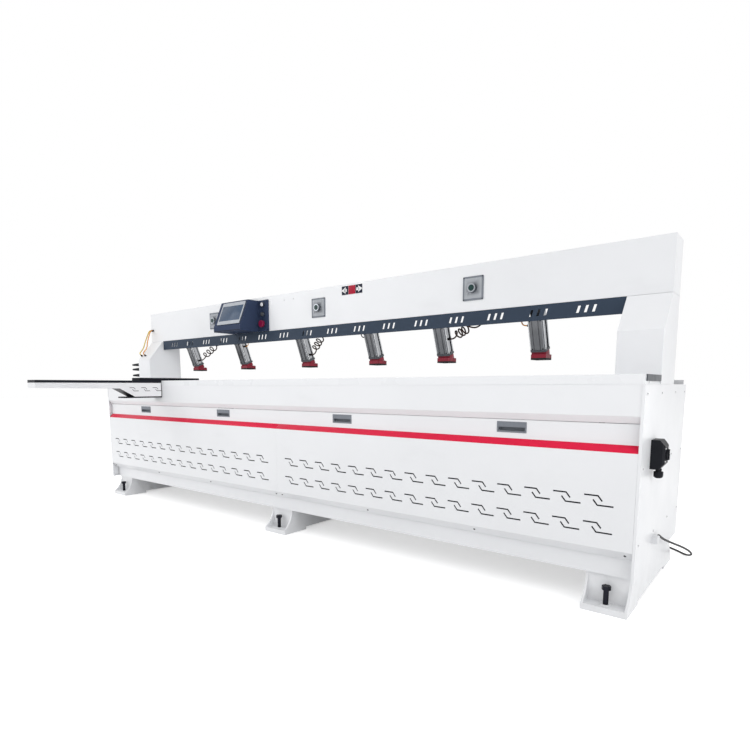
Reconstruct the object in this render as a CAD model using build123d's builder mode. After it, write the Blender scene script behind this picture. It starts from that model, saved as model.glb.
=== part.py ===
"""Side hole drilling machine: a long work table, a beam with six clamps and a travelling drill.

Millimetres. +X runs along the table to the right, +Y to the back and +Z up. The origin is on the
floor under the middle foot. A depth is measured back from the front of the feet.
"""

import os
from math import cos, pi, radians, sin, sqrt, tan

from build123d import *

os.makedirs("parts", exist_ok=True)

# Whole machine
body_length = 3886.0
base_depth = 880.0
table_height = 900.0
half = body_length / 2
front = -base_depth / 2

# Sheet metal and fits
sheet = 2.0
panel_gap = 0.5
slide_gap = 0.3
running_gap = 0.05
thread_gap = 0.2
weld_gap = 0.2

# Feet and levelling bolts
foot_pitch = 1843.0
foot_width = 170.0
foot_height = 140.0
foot_lip = 26.0
foot_setback = 62.0
foot_pad = 175.0
foot_relief = 16.0
foot_wall = 10.0
bolt_diameter = 20.0
bolt_setback = 36.0
bolt_head_width = 30.0
bolt_head_height = 16.0
bolt_head_level = 86.0

# Base frame of square tube
tube_wall = 5.0
rail_tube_depth = 60.0
rail_tube_height = 80.0
cross_tube_width = 80.0
rear_post_top = 500.0

# Front cladding
skirt_depth = 48.0
skirt_top = 262.0
panel_depth = 2.0
panel_seam = 28.0
panel_return = 32.0
panel_return_bottom = 218.0
panel_return_top = 253.0
stripe_height = 27.0
band_depth = 25.0
band_height = 77.0
fascia_depth = 4.0
fascia_height = 114.0
fascia_slope = 27.0
fascia_gap = 2.0
end_panel_width = 10.0
end_panel_bottom = 142.0
rear_panel_drop = 15.0

# Vent cuts and pulls in the front panels
vent_count = 15
vent_margin = 124.0
vent_heights = (434.0, 331.0)
vent_stroke = 6.0
vent_upper = ((-55.0, 21.0), (-3.0, 21.0), (14.0, 0.0))
vent_lower = ((-24.0, 0.0), (-7.0, -21.0), (52.0, -21.0))
pull_width = 129.0
pull_height = 45.0
pull_drop = 31.0
pull_offset = 465.0
pull_flange = 1.5
pull_cup_depth = 21.0
pull_wall = 2.5
pull_rim = 4.5

# Table
slab_thickness = 35.0
slab_front_depth = 2.0
slab_rear_gap = 50.0
slab_edge = 2.0
cap_thickness = 5.0
cap_front_depth = 29.0
cap_height = 24.0

# Columns and beam
column_width = 171.0
column_step = 128.0
column_shoulder_drop = 152.0
column_wall = 5.0
column_round = 3.0
beam_depth = 148.0
beam_setback = 12.0
beam_clearance = 328.0
beam_height = 227.0
beam_tube_inset = 10.0
beam_wall = 6.0
cover_gap = 1.0
cover_hole = 8.0
cover_hole_drop = 40.0
cover_holes = (-308.0, -222.0)

# Slotted strip under the beam
strip_setback = 1.0
strip_thickness = 3.0
strip_height = 70.0
strip_flange = 6.0
strip_end_gap = 2.0
strip_slot_groups = 16
strip_group_pitch = 214.5
strip_slots = 3
strip_slot_pitch = 34.0
strip_slot_width = 12.0
strip_slot_height = 30.0
strip_slot_lean = 9.0

# Clamps
clamp_places = (-1430.0, -827.0, -193.0, 377.0, 850.0, 1374.0)
clamp_setback = 36.0
clamp_opening = 83.0
clamp_tilt = 20.4
clamp_stroke = 85.0
barrel_size = 64.0
barrel_start = 60.0
barrel_end = 212.0
barrel_groove_width = 7.0
barrel_groove_depth = 5.0
barrel_groove_offset = 15.0
bracket_depth = 32.0
shoe_width = 74.0
shoe_depth = 80.0
shoe_height = 26.0
shoe_round = 4.0
shoe_setback = 3.0
shoe_boss_width = 58.0
shoe_boss_depth = 44.0
shoe_boss_top = 46.0
rod_diameter = 16.0
rod_offset = 17.0
rod_guide = 30.0
bore_relief = 8.0

# Curly air hoses and their fittings
curl_clamps = (0, 2, 4)
curl_tube = 8.0
curl_diameter = 42.0
curl_turns = 3
curl_reaches = (348.0, 170.0, 216.0)
curl_low_leads = (100.0, 62.0, 50.0)
curl_pitches = (56.0, 32.0, 22.0)
curl_top_setback = 36.0
curl_top_straight = 36.0
curl_ports = (86.0, 86.0, 131.0)
curl_port_length = 14.0
curl_port_width = 14.0

# Console and button stations on the beam
console_left = -845.0
console_split = -558.0
console_right = -460.0
console_drop = 21.0
console_lip_reach = 165.0
console_lip_height = 33.0
console_slope_reach = 92.0
console_box_reach = 8.0
console_wall = 3.0
screen_width = 241.0
screen_height = 163.0
screen_thickness = 6.0
screen_side_border = 11.0
screen_end_border = 26.0
screen_recess = 2.0
screen_place = -689.0
console_button_place = -508.0
start_drop = 30.0
key_drop = 94.0
estop_drop = 157.0
station_places = (-1059.0, 0.0, 1059.0)
station_rise = 111.0
station_width = 112.0
station_height = 116.0
station_thickness = 4.0
station_button_diameter = 30.0
station_bezel_wall = 6.0
station_bezel_height = 20.0
button_diameter = 24.0
button_proud = 2.0
button_travel = 4.0
button_back_gap = 1.0
bezel_wall = 4.0
bezel_height = 12.0
key_grip_width = 6.0
key_grip_length = 22.0
key_grip_height = 10.0
estop_diameter = 46.0
estop_head = 16.0
estop_collar = 6.0
estop_travel = 5.0

# Workpiece support arm and side stop
arm_right = -1150.0
arm_width = 108.0
arm_reach = 797.0
arm_tip_height = 47.0
arm_bend_height = 53.0
arm_bend_reach = 296.0
arm_root_reach = 196.0
arm_root_height = 108.0
arm_wall = 3.0
arm_top_thickness = 10.0
arm_vent_pitch = 82.0
arm_vent_scale = 0.6
arm_vent_reach = 115.0
arm_vents = 3
stop_width = 100.0
stop_height = 19.0
stop_front_reach = 155.0
stop_rear_depth = 308.0
stop_edge = 3.0

# Fittings and link hoses on the left column
gland_rises = (140.0, 102.0, 53.0)
gland_setback = 20.0
gland_nut_width = 32.0
gland_nut_length = 14.0
gland_length = 130.0
gland_tip = 10.0
link_places = (-1928.0, -1908.0)
link_feet = (-1930.0, -1876.0)
link_tube = 8.0
link_fitting = 15.0
link_fitting_length = 14.0
link_rise = 94.0
link_lift = 16.0
link_end_setback = 28.0

# Isolator and mains cable
isolator_depth = 195.0
isolator_level = 602.0
isolator_width = 82.0
isolator_height = 111.0
isolator_proud = 48.0
isolator_edge = 8.0
isolator_end_slope = 18.0
isolator_end_rise = 22.0
isolator_collar = 54.0
isolator_collar_height = 2.0
knob_diameter = 44.0
knob_height = 4.0
knob_grip_width = 14.0
knob_grip_length = 40.0
knob_grip_height = 4.0
isolator_gland_diameter = 22.0
isolator_nut_diameter = 32.0
isolator_nut_length = 20.0
isolator_gland_length = 32.0
cable_diameter = 9.5
outlet_depth = 322.0
outlet_level = 242.0
outlet_width = 46.0
outlet_height = 26.0
outlet_proud = 24.0
outlet_edge = 5.0
outlet_nut_diameter = 18.0
outlet_nut_length = 16.0
outlet_run = 34.0
coil_x = 1560.0
coil_depth = 1096.0
coil_mid_diameter = 106.0
coil_step = 10.3
coil_layer_turns = 2.0
coil_lead_run = 56.0
plug_lead = 72.0
plug_diameter = 38.0
plug_length = 56.0
plug_neck_diameter = 16.0
plug_neck_length = 22.0
plug_pin_diameter = 4.8
plug_pin_length = 19.0
plug_pin_spacing = 19.0

# Drilling unit behind the table
carriage_park = 1740.0
carriage_length = 230.0
carriage_front_inset = 12.0
carriage_rear_overhang = 8.0
carriage_thickness = 20.0
rail_beam_depth = 180.0
rail_beam_setback = 90.0
rail_beam_height = 120.0
rail_beam_drop = 260.0
rail_beam_inset = 43.0
rail_size = 20.0
rail_inset = 30.0
rail_left = -1270.0
saddle_length = 50.0
saddle_width = 46.0
saddle_offset = 80.0
saddle_gap = 1.0
saddle_top_gap = 4.0
screw_diameter = 20.0
screw_lift = 12.5
screw_bearing_left = -1300.0
screw_bearing_width = 18.0
screw_block_depth = 50.0
screw_block_wall = 5.5
nut_length = 60.0
drive_motor_length = 110.0
drive_motor_size = 76.0
guide_diameter = 18.0
guide_offset = 90.0
guide_front_inset = 18.0
guide_rear_inset = 22.0
guide_length = 196.0
shelf_front_gap = 16.0
shelf_thickness = 20.0
lift_cylinder_diameter = 44.0
lift_cylinder_length = 86.0
lift_rod_diameter = 16.0
lift_rod_length = 66.0
cross_rail_size = 16.0
cross_rail_offset = 55.0
feed_setback = 74.0
feed_length = 176.0
feed_width = 150.0
feed_thickness = 18.0
runner_width = 32.0
runner_height = 43.0
spindle_lift = 12.0
spindle_size = 90.0
spindle_setback = 30.0
spindle_length = 178.0
spindle_edge = 6.0
spindle_shaft_diameter = 16.0
spindle_shaft_length = 22.0
chuck_diameter = 22.0
chuck_length = 36.0
bit_diameter = 8.0
bit_length = 70.0

# Values that follow from the sizes above: along the machine
slab_half = half - cap_thickness
column_inner = half - column_width
frame_half = half - end_panel_width
beam_half = half - sheet
rail_beam_half = half - rail_beam_inset
panel_half = half - end_panel_width - panel_gap
foot_places = (-foot_pitch, 0.0, foot_pitch)

# Depths, from the back of the machine to the front
frame_front = skirt_depth + sheet
frame_rear = base_depth - panel_depth - sheet
rail_beam_rear_depth = base_depth - rail_beam_setback
rail_beam_front_depth = rail_beam_rear_depth - rail_beam_depth
slab_rear_depth = rail_beam_front_depth - slab_rear_gap
beam_rear_depth = slab_rear_depth - beam_setback
beam_front_depth = beam_rear_depth - beam_depth
beam_tube_front = beam_front_depth + beam_tube_inset
beam_tube_rear = beam_rear_depth - beam_tube_inset
column_front_depth = beam_front_depth - column_step
strip_depth = beam_front_depth + strip_setback
clamp_depth = beam_rear_depth - clamp_setback
curl_top_depth = beam_front_depth + curl_top_setback
console_lip_depth = beam_front_depth - console_lip_reach
console_slope_depth = beam_front_depth - console_slope_reach
console_box_depth = beam_front_depth - console_box_reach
gland_depth = column_front_depth + gland_setback
link_end_depth = column_front_depth + link_end_setback
carriage_front_depth = rail_beam_front_depth + carriage_front_inset
carriage_rear_depth = rail_beam_rear_depth + carriage_rear_overhang
guide_front_depth = carriage_front_depth + guide_front_inset
guide_rear_depth = carriage_rear_depth - guide_rear_inset
shelf_front_depth = slab_rear_depth + shelf_front_gap
feed_front_depth = shelf_front_depth + feed_setback
spindle_front_depth = feed_front_depth + spindle_setback

# Heights, from the table downwards and then upwards
slab_bottom = table_height - slab_thickness
frame_low_top = foot_height + rail_tube_height
frame_high_bottom = slab_bottom - rail_tube_height
fascia_fold = slab_bottom - fascia_height
fascia_bottom = fascia_fold - fascia_slope
band_top = fascia_bottom - fascia_gap
stripe_top = band_top - band_height
stripe_bottom = stripe_top - stripe_height
pull_level = band_top - pull_drop
rear_panel_top = table_height - rear_panel_drop
rail_beam_top = table_height - rail_beam_drop
rail_beam_bottom = rail_beam_top - rail_beam_height
spindle_axis = table_height + spindle_lift
feed_top = spindle_axis - spindle_size / 2
feed_bottom = feed_top - feed_thickness
shelf_top = feed_bottom - runner_height
shelf_bottom = shelf_top - shelf_thickness
clamp_level = table_height + clamp_opening
beam_bottom = table_height + beam_clearance
beam_top = beam_bottom + beam_height
beam_tube_top = beam_top - sheet
column_shoulder = beam_bottom - column_shoulder_drop
cover_hole_level = beam_top - cover_hole_drop
strip_bottom = beam_bottom - strip_height
console_bottom = beam_bottom + cover_gap
console_top = beam_top - console_drop
console_lip_top = console_bottom + console_lip_height
start_level = console_top - start_drop
key_level = console_top - key_drop
estop_level = console_top - estop_drop
station_level = beam_bottom + station_rise
link_level = beam_bottom + link_rise
arm_tip_bottom = table_height - arm_tip_height
arm_bend_bottom = table_height - arm_bend_height
arm_root_bottom = table_height - arm_root_height
up_tilt = (0.0, -sin(radians(clamp_tilt)), cos(radians(clamp_tilt)))


def block(low, high, mode=Mode.ADD):
    """Add or cut a box between two corners, each given as x, depth and height."""
    size = [top - bottom for bottom, top in zip(low, high)]
    middle = [(top + bottom) / 2 for bottom, top in zip(low, high)]
    with Locations((middle[0], front + middle[1], middle[2])):
        Box(*size, mode=mode)


def side_profile(points, x_low, x_high, thickness=None):
    """Add a side outline of depth and height points between two x places.

    With a thickness, the line is a sheet whose metal lies to the left of the way it is drawn.
    """
    with BuildSketch(Plane.YZ.offset(x_low)) as outline:
        with BuildLine():
            line = [(front + depth, height) for depth, height in points]
            Polyline(*line, close=thickness is None)
            if thickness is not None:
                offset(amount=thickness, side=Side.LEFT, kind=Kind.INTERSECTION)
        make_face()
    extrude(outline.sketch, amount=x_high - x_low)


def round_bar(start, direction, diameter, length, mode=Mode.ADD):
    """Add or cut a round bar from a start given as x, depth and height."""
    origin = (start[0], front + start[1], start[2])
    with BuildSketch(Plane(origin=origin, z_dir=direction)) as section:
        Circle(diameter / 2)
    extrude(section.sketch, amount=length, mode=mode)


def front_plane(depth):
    """Return the upright plane at a depth, seen from the front, with local x and y as X and Z."""
    return Plane.XZ.offset(-(front + depth))


def save(piece, name):
    """Label a finished piece and write it to its own file."""
    piece.part.label = name
    export_step(piece.part, f"parts/{name}.step")


def biarc(start, start_way, end, end_way):
    """Draw two arcs that leave one point and reach another along the given unit directions."""
    chord = end - start
    ways = start_way + end_way
    bend = 2 * (1 - start_way.dot(end_way))
    along = chord.dot(ways)
    reach = (sqrt(along * along + bend * chord.dot(chord)) - along) / bend
    leave = start + start_way * reach
    arrive = end - end_way * reach
    joint = (leave + arrive) / 2
    TangentArc(start, joint, tangent=start_way)
    TangentArc(joint, end, tangent=(arrive - leave).normalized())


def winding(place, turns, quarters=4):
    """Draw a winding through points of the function place, which takes a count of turns."""
    step = 0.001
    count = round(turns * quarters)
    spots = [turns * number / count for number in range(count + 1)]
    ways = [(place(spot + step) - place(spot - step)).normalized() for spot in spots]
    for number in range(count):
        biarc(place(spots[number]), ways[number], place(spots[number + 1]), ways[number + 1])
    return ways[0], ways[-1]


def least_gap(place, turns, diameter):
    """Return the least gap between stretches of a winding that lie half a turn or more apart."""
    per_turn = 48
    count = round(turns * per_turn)
    points = [place(turns * number / count) for number in range(count + 1)]
    gaps = []
    for number, point in enumerate(points):
        for other in points[number + per_turn // 2:]:
            gaps.append((other - point).length - diameter)
    return min(gaps)


# Feet: open channels with a ledge between two side webs at each end
for foot_name, foot_place in zip(("foot_left", "foot_middle", "foot_right"), foot_places):
    with BuildPart() as foot:
        with BuildSketch(Plane.YZ.offset(foot_place - foot_width / 2)):
            with BuildLine():
                Polyline(
                    (front, foot_lip), (front, 0), (front + foot_pad, 0),
                    (front + foot_pad, foot_relief), (-front - foot_pad, foot_relief),
                    (-front - foot_pad, 0), (-front, 0), (-front, foot_lip))
                TangentArc((-front - foot_setback, foot_height), (-front, foot_lip), tangent=(0, -1))
                Line((-front - foot_setback, foot_height), (front + foot_setback, foot_height))
                TangentArc((front + foot_setback, foot_height), (front, foot_lip), tangent=(0, -1))
            make_face()
        extrude(amount=foot_width)
        web = foot_width / 2 - foot_wall
        for near, far in ((0.0, foot_setback), (base_depth - foot_setback, base_depth)):
            block((foot_place - web, near, foot_lip), (foot_place + web, far, foot_height), Mode.SUBTRACT)
        block((foot_place - web, foot_pad, 0), (foot_place + web, base_depth - foot_pad,
              foot_height - foot_wall), Mode.SUBTRACT)
        for bolt_depth in (bolt_setback, base_depth - bolt_setback):
            round_bar((foot_place, bolt_depth, 0), (0, 0, 1), bolt_diameter + 2 * thread_gap, foot_lip,
                      Mode.SUBTRACT)
    save(foot, foot_name)

with BuildPart() as levelling_bolts:
    bolt_spots = [(place, front + depth) for place in foot_places
                  for depth in (bolt_setback, base_depth - bolt_setback)]
    with BuildSketch():
        with Locations(*bolt_spots):
            Circle(bolt_diameter / 2)
    extrude(amount=bolt_head_level)
    with BuildSketch(Plane.XY.offset(bolt_head_level)):
        with Locations(*bolt_spots):
            RegularPolygon(bolt_head_width / 2, 6, major_radius=False)
    extrude(amount=bolt_head_height)
save(levelling_bolts, "levelling_bolts")

# Base frame: welded tubes, each a low corner, a high corner and the axis it runs along
cross_half = cross_tube_width / 2
mid_front = slab_rear_depth - rail_tube_height
post_front = (rail_beam_front_depth + rail_beam_rear_depth - rail_tube_height) / 2
post_rear = post_front + rail_tube_height
frame_front_inner = frame_front + rail_tube_depth
frame_rear_inner = frame_rear - rail_tube_depth
frame_tubes = [
    ((-frame_half, frame_front, foot_height), (frame_half, frame_front_inner, frame_low_top), 0),
    ((-frame_half, frame_rear_inner, foot_height), (frame_half, frame_rear, frame_low_top), 0),
    ((-frame_half, frame_front, frame_high_bottom), (frame_half, frame_front_inner, slab_bottom), 0),
    ((-frame_half, mid_front, frame_high_bottom), (frame_half, slab_rear_depth, slab_bottom), 0),
    ((-rail_beam_half, rail_beam_front_depth, rail_beam_bottom),
     (rail_beam_half, rail_beam_rear_depth, rail_beam_top), 0),
]
for place in foot_places:
    low_x = place - cross_half
    high_x = place + cross_half
    upright_low = frame_low_top + weld_gap
    upright_high = frame_high_bottom - weld_gap
    cross_front = frame_front_inner + weld_gap
    frame_tubes += [
        ((low_x, frame_front, upright_low), (high_x, frame_front_inner, upright_high), 2),
        ((low_x, frame_rear_inner, upright_low), (high_x, frame_rear, rear_post_top), 2),
        ((low_x, mid_front, upright_low), (high_x, slab_rear_depth, upright_high), 2),
        ((low_x, post_front, upright_low), (high_x, post_rear, rail_beam_bottom - weld_gap), 2),
        ((low_x, cross_front, foot_height), (high_x, frame_rear_inner - weld_gap, frame_low_top), 1),
        ((low_x, cross_front, frame_high_bottom), (high_x, mid_front - weld_gap, slab_bottom), 1),
    ]
motor_end = screw_bearing_left - screw_bearing_width
screw_level = rail_beam_top + screw_lift
screw_depth = (rail_beam_front_depth + rail_beam_rear_depth) / 2
with BuildPart() as base_frame:
    for low, high, axis in frame_tubes:
        block(low, high)
    for low, high, axis in frame_tubes:
        inset = [0.0 if number == axis else tube_wall for number in range(3)]
        block([corner + gap for corner, gap in zip(low, inset)],
              [corner - gap for corner, gap in zip(high, inset)], Mode.SUBTRACT)
    pocket = drive_motor_size / 2 + panel_gap
    block((motor_end - drive_motor_length - panel_gap, screw_depth - pocket, screw_level - pocket),
          (motor_end, screw_depth + pocket, rail_beam_top), Mode.SUBTRACT)
save(base_frame, "base_frame")

# Cladding of the base
with BuildPart() as front_skirt:
    block((-panel_half, skirt_depth, foot_height), (panel_half, frame_front, skirt_top))
save(front_skirt, "front_skirt")

panel_line = [
    (band_depth, stripe_top), (panel_depth, stripe_bottom), (panel_depth, panel_return_top),
    (panel_depth + panel_return, panel_return_bottom), (skirt_depth, panel_return_bottom)]
pull_hole_inset = 2 * (pull_rim - slide_gap)
pull_x = pull_width / 2
pull_z = pull_height / 2
with BuildSketch() as vent_figure:
    with BuildLine():
        Polyline(*vent_upper)
        offset(amount=vent_stroke, side=Side.RIGHT, kind=Kind.INTERSECTION)
    make_face()
    with BuildLine():
        Polyline(*vent_lower)
        offset(amount=vent_stroke, side=Side.LEFT, kind=Kind.INTERSECTION)
    make_face()
pull_places = []
for panel_name, panel_left, panel_right in (
        ("front_panel_left", -panel_half, panel_seam - panel_gap / 2),
        ("front_panel_right", panel_seam + panel_gap / 2, panel_half)):
    vent_pitch = (panel_right - panel_left - 2 * vent_margin) / (vent_count - 1)
    vent_centre = (panel_left + panel_right) / 2
    pulls = (vent_centre - pull_offset, vent_centre + pull_offset)
    pull_places += pulls
    with BuildPart() as front_panel:
        side_profile(panel_line, panel_left, panel_right, sheet)
        block((panel_left, band_depth, stripe_top + weld_gap), (panel_right, band_depth + sheet, band_top))
        with BuildSketch(front_plane(panel_depth)):
            for vent_height in vent_heights:
                with Locations((vent_centre, vent_height)):
                    with GridLocations(vent_pitch, 1, vent_count, 1):
                        add(vent_figure.sketch)
        extrude(amount=2 * sheet, both=True, mode=Mode.SUBTRACT)
        with BuildSketch(front_plane(band_depth)):
            with Locations(*[(place, pull_level) for place in pulls]):
                Rectangle(pull_width - pull_hole_inset, pull_height - pull_hole_inset)
        extrude(amount=2 * sheet, both=True, mode=Mode.SUBTRACT)
    save(front_panel, panel_name)

with BuildPart() as panel_pulls:
    cup_back = band_depth + pull_cup_depth
    for place in pull_places:
        block((place - pull_x, band_depth - pull_flange, pull_level - pull_z),
              (place + pull_x, band_depth, pull_level + pull_z))
        cup_x = pull_x - pull_rim
        cup_z = pull_z - pull_rim
        block((place - cup_x, band_depth, pull_level - cup_z), (place + cup_x, cup_back, pull_level + cup_z))
        hollow_x = cup_x - pull_wall
        hollow_z = cup_z - pull_wall
        block((place - hollow_x, band_depth, pull_level - hollow_z),
              (place + hollow_x, cup_back - pull_wall, pull_level + hollow_z), Mode.SUBTRACT)
        block((place - hollow_x, band_depth - pull_flange, pull_level - hollow_z),
              (place + hollow_x, band_depth, pull_level), Mode.SUBTRACT)
save(panel_pulls, "panel_pulls")

with BuildPart() as fascia:
    fascia_line = [
        (frame_front, slab_bottom), (fascia_depth, slab_bottom), (fascia_depth, fascia_fold),
        (band_depth, fascia_bottom), (frame_front, fascia_bottom)]
    side_profile(fascia_line, -panel_half, panel_half, sheet)
save(fascia, "fascia")

for panel_name, side in (("end_panel_left", -1), ("end_panel_right", 1)):
    inner, middle, outer = (side * x for x in (half - end_panel_width, half - sheet, half))
    end_top = slab_bottom - panel_gap
    with BuildPart() as end_panel:
        block((min(inner, outer), panel_depth, end_panel_bottom),
              (max(inner, outer), base_depth - panel_depth, end_top))
        block((min(inner, middle), panel_depth + sheet, end_panel_bottom + sheet),
              (max(inner, middle), base_depth - panel_depth - sheet, end_top - sheet), Mode.SUBTRACT)
    save(end_panel, panel_name)

with BuildPart() as rear_panels:
    for low_x, high_x in ((-panel_half, -panel_gap / 2), (panel_gap / 2, panel_half)):
        block((low_x, frame_rear, end_panel_bottom), (high_x, frame_rear + sheet, rear_panel_top))
save(rear_panels, "rear_panels")

# Table
with BuildPart() as table_slab:
    column_line = column_front_depth - panel_gap
    block((-slab_half, slab_front_depth, slab_bottom), (slab_half, column_line, table_height))
    between = column_inner - panel_gap
    block((-between, column_line, slab_bottom), (between, slab_rear_depth, table_height))
    top_front = table_slab.edges().filter_by(Axis.X).group_by(Axis.Z)[-1].sort_by(Axis.Y)[0]
    chamfer(top_front, slab_edge)
save(table_slab, "table_slab")

with BuildPart() as table_end_caps:
    for low_x, high_x in ((-half, -slab_half), (slab_half, half)):
        block((low_x, cap_front_depth, table_height - cap_height), (high_x, column_line, table_height))
save(table_end_caps, "table_end_caps")

# Columns, beam and its cover
column_outline = [
    (column_front_depth, slab_bottom), (column_front_depth, column_shoulder), (beam_front_depth, beam_bottom),
    (beam_rear_depth, beam_bottom), (beam_rear_depth, slab_bottom)]
for column_name, low_x, high_x in (
        ("column_left", -half, -column_inner), ("column_right", column_inner, half)):
    with BuildPart() as column:
        side_profile(column_outline, low_x, high_x)
        offset(amount=-column_wall, openings=column.faces().sort_by(Axis.Z)[0])
        outer_edges = column.edges().group_by(Axis.Y)[0].filter_by(Axis.Z)
        fillet(outer_edges, column_round)
    save(column, column_name)

with BuildPart() as beam:
    block((-beam_half, beam_tube_front, beam_bottom), (beam_half, beam_tube_rear, beam_tube_top))
    block((-beam_half, beam_tube_front + beam_wall, beam_bottom + beam_wall),
          (beam_half, beam_tube_rear - beam_wall, beam_tube_top - beam_wall), Mode.SUBTRACT)
save(beam, "beam")

with BuildPart() as beam_cover:
    block((-half, beam_front_depth, beam_bottom + cover_gap), (half, beam_rear_depth, beam_top))
    block((-beam_half, beam_front_depth + sheet, beam_bottom), (beam_half, beam_rear_depth - sheet,
          beam_tube_top), Mode.SUBTRACT)
    with BuildSketch(front_plane(beam_front_depth)):
        with Locations(*[(place, cover_hole_level) for place in cover_holes]):
            Circle(cover_hole / 2)
    extrude(amount=2 * sheet, both=True, mode=Mode.SUBTRACT)
save(beam_cover, "beam_cover")

with BuildPart() as beam_strip:
    strip_half = column_inner - strip_end_gap
    block((-strip_half, strip_depth, strip_bottom), (strip_half, strip_depth + strip_thickness, beam_bottom))
    block((-strip_half, strip_depth, beam_bottom - strip_thickness),
          (strip_half, beam_tube_front + strip_flange, beam_bottom))
    slot_low = strip_slot_height / 2
    slot_side = strip_slot_width / 2
    with BuildSketch(front_plane(strip_depth)):
        with Locations((0, (strip_bottom + beam_bottom) / 2)):
            with GridLocations(strip_group_pitch, 1, strip_slot_groups, 1):
                with GridLocations(strip_slot_pitch, 1, strip_slots, 1):
                    Polygon(
                        (-slot_side - strip_slot_lean / 2, -slot_low),
                        (slot_side - strip_slot_lean / 2, -slot_low),
                        (slot_side + strip_slot_lean / 2, slot_low),
                        (-slot_side + strip_slot_lean / 2, slot_low))
    extrude(amount=2 * strip_thickness, both=True, mode=Mode.SUBTRACT)
save(beam_strip, "beam_strip")


# Clamps: each has its own tilted plane, with the middle of the shoe's foot as its origin
def clamp_plane(place):
    """Return the plane square to a clamp's stroke, through the middle of its foot."""
    return Plane(origin=(place, front + clamp_depth, clamp_level), x_dir=(1, 0, 0), z_dir=up_tilt)


rod_top = barrel_start + clamp_stroke + rod_guide
with BuildPart() as clamp_barrels:
    for place in clamp_places:
        with BuildSketch(clamp_plane(place).offset(barrel_start)) as barrel_section:
            RectangleRounded(barrel_size, barrel_size, barrel_groove_depth)
            face = barrel_size / 2 - barrel_groove_depth / 2
            groove = barrel_groove_offset
            with Locations(*[(sign * groove, end * face) for sign in (-1, 1) for end in (-1, 1)]):
                Rectangle(barrel_groove_width, barrel_groove_depth, mode=Mode.SUBTRACT)
            with Locations(*[(end * face, sign * groove) for sign in (-1, 1) for end in (-1, 1)]):
                Rectangle(barrel_groove_depth, barrel_groove_width, mode=Mode.SUBTRACT)
        extrude(barrel_section.sketch, amount=barrel_end - barrel_start)
        with BuildSketch(clamp_plane(place).offset(barrel_start)) as bores:
            with Locations((-rod_offset, 0), (rod_offset, 0)):
                Circle(rod_diameter / 2 + slide_gap)
        extrude(bores.sketch, amount=rod_top + bore_relief - barrel_start, mode=Mode.SUBTRACT)
        with BuildSketch(clamp_plane(place).offset(barrel_end)) as bracket:
            with Locations((0, bracket_depth / 2)):
                Rectangle(barrel_size, bracket_depth)
        bracket_length = (beam_bottom - clamp_level) / cos(radians(clamp_tilt)) - barrel_end
        extrude(bracket.sketch, amount=bracket_length)
    split(bisect_by=Plane.XY.offset(beam_bottom), keep=Keep.BOTTOM)
save(clamp_barrels, "clamp_barrels")

rod_foot = shoe_height / 2
for number, place in enumerate(clamp_places, 1):
    with BuildPart() as clamp_shoe:
        with BuildSketch(Plane.XY.offset(clamp_level)):
            with Locations((place, front + clamp_depth - shoe_setback)):
                RectangleRounded(shoe_width, shoe_depth, shoe_round)
        extrude(amount=shoe_height)
        with BuildSketch(clamp_plane(place).offset(rod_foot)):
            RectangleRounded(shoe_boss_width, shoe_boss_depth, shoe_round)
        extrude(amount=shoe_boss_top - rod_foot)
        with BuildSketch(clamp_plane(place).offset(rod_foot)):
            with Locations((-rod_offset, 0), (rod_offset, 0)):
                Circle(rod_diameter / 2)
        extrude(amount=rod_top - rod_foot)
    save(clamp_shoe, f"clamp_{number}_shoe")

# Curly hoses: a helix from a stub under the beam down to a port on the barrel's right side
with BuildPart() as curly_hoses:
    for number, curl_port, curl_reach, curl_low_lead, curl_pitch in zip(
            curl_clamps, curl_ports, curl_reaches, curl_low_leads, curl_pitches):
        place = clamp_places[number]
        barrel_side = clamp_plane(place).from_local_coords(Vector(barrel_size / 2, 0, curl_port))
        low_end = barrel_side + Vector(curl_port_length, 0, 0)
        high_end = Vector(barrel_side.X + curl_reach, front + curl_top_depth, beam_bottom - curl_top_straight)
        low_lead = low_end + Vector(curl_tube, 0, 0)
        axis_way = (high_end - low_end).normalized()
        side_way = axis_way.cross(Vector(0, 1, 0)).normalized()
        other_way = axis_way.cross(side_way)
        helix_start = low_end + axis_way * curl_low_lead

        def curl(turn):
            """Return the point of the helix after a count of turns from its lower end."""
            angle = 2 * pi * turn
            spoke = side_way * cos(angle) + other_way * sin(angle)
            return helix_start + axis_way * (curl_pitch * turn) + spoke * (curl_diameter / 2)

        with BuildLine() as curl_path:
            Line(low_end, low_lead)
            helix_in = (curl(0.001) - curl(-0.001)).normalized()
            biarc(low_lead, Vector(1, 0, 0), curl(0), helix_in)
            helix_out = winding(curl, curl_turns)[1]
            biarc(curl(curl_turns), helix_out, high_end, Vector(0, 0, 1))
            Line(high_end, (high_end.X, high_end.Y, beam_bottom))
        with BuildSketch(Plane(origin=low_end, z_dir=(1, 0, 0))) as curl_section:
            Circle(curl_tube / 2)
        sweep(curl_section.sketch, path=curl_path.line)
        round_bar((barrel_side.X, barrel_side.Y - front, barrel_side.Z), (1, 0, 0), curl_port_width,
                  curl_port_length)
        print(f"curly hose at {place}: least gap {least_gap(curl, curl_turns, curl_tube):.2f} mm")
save(curly_hoses, "curly_hoses")

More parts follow.
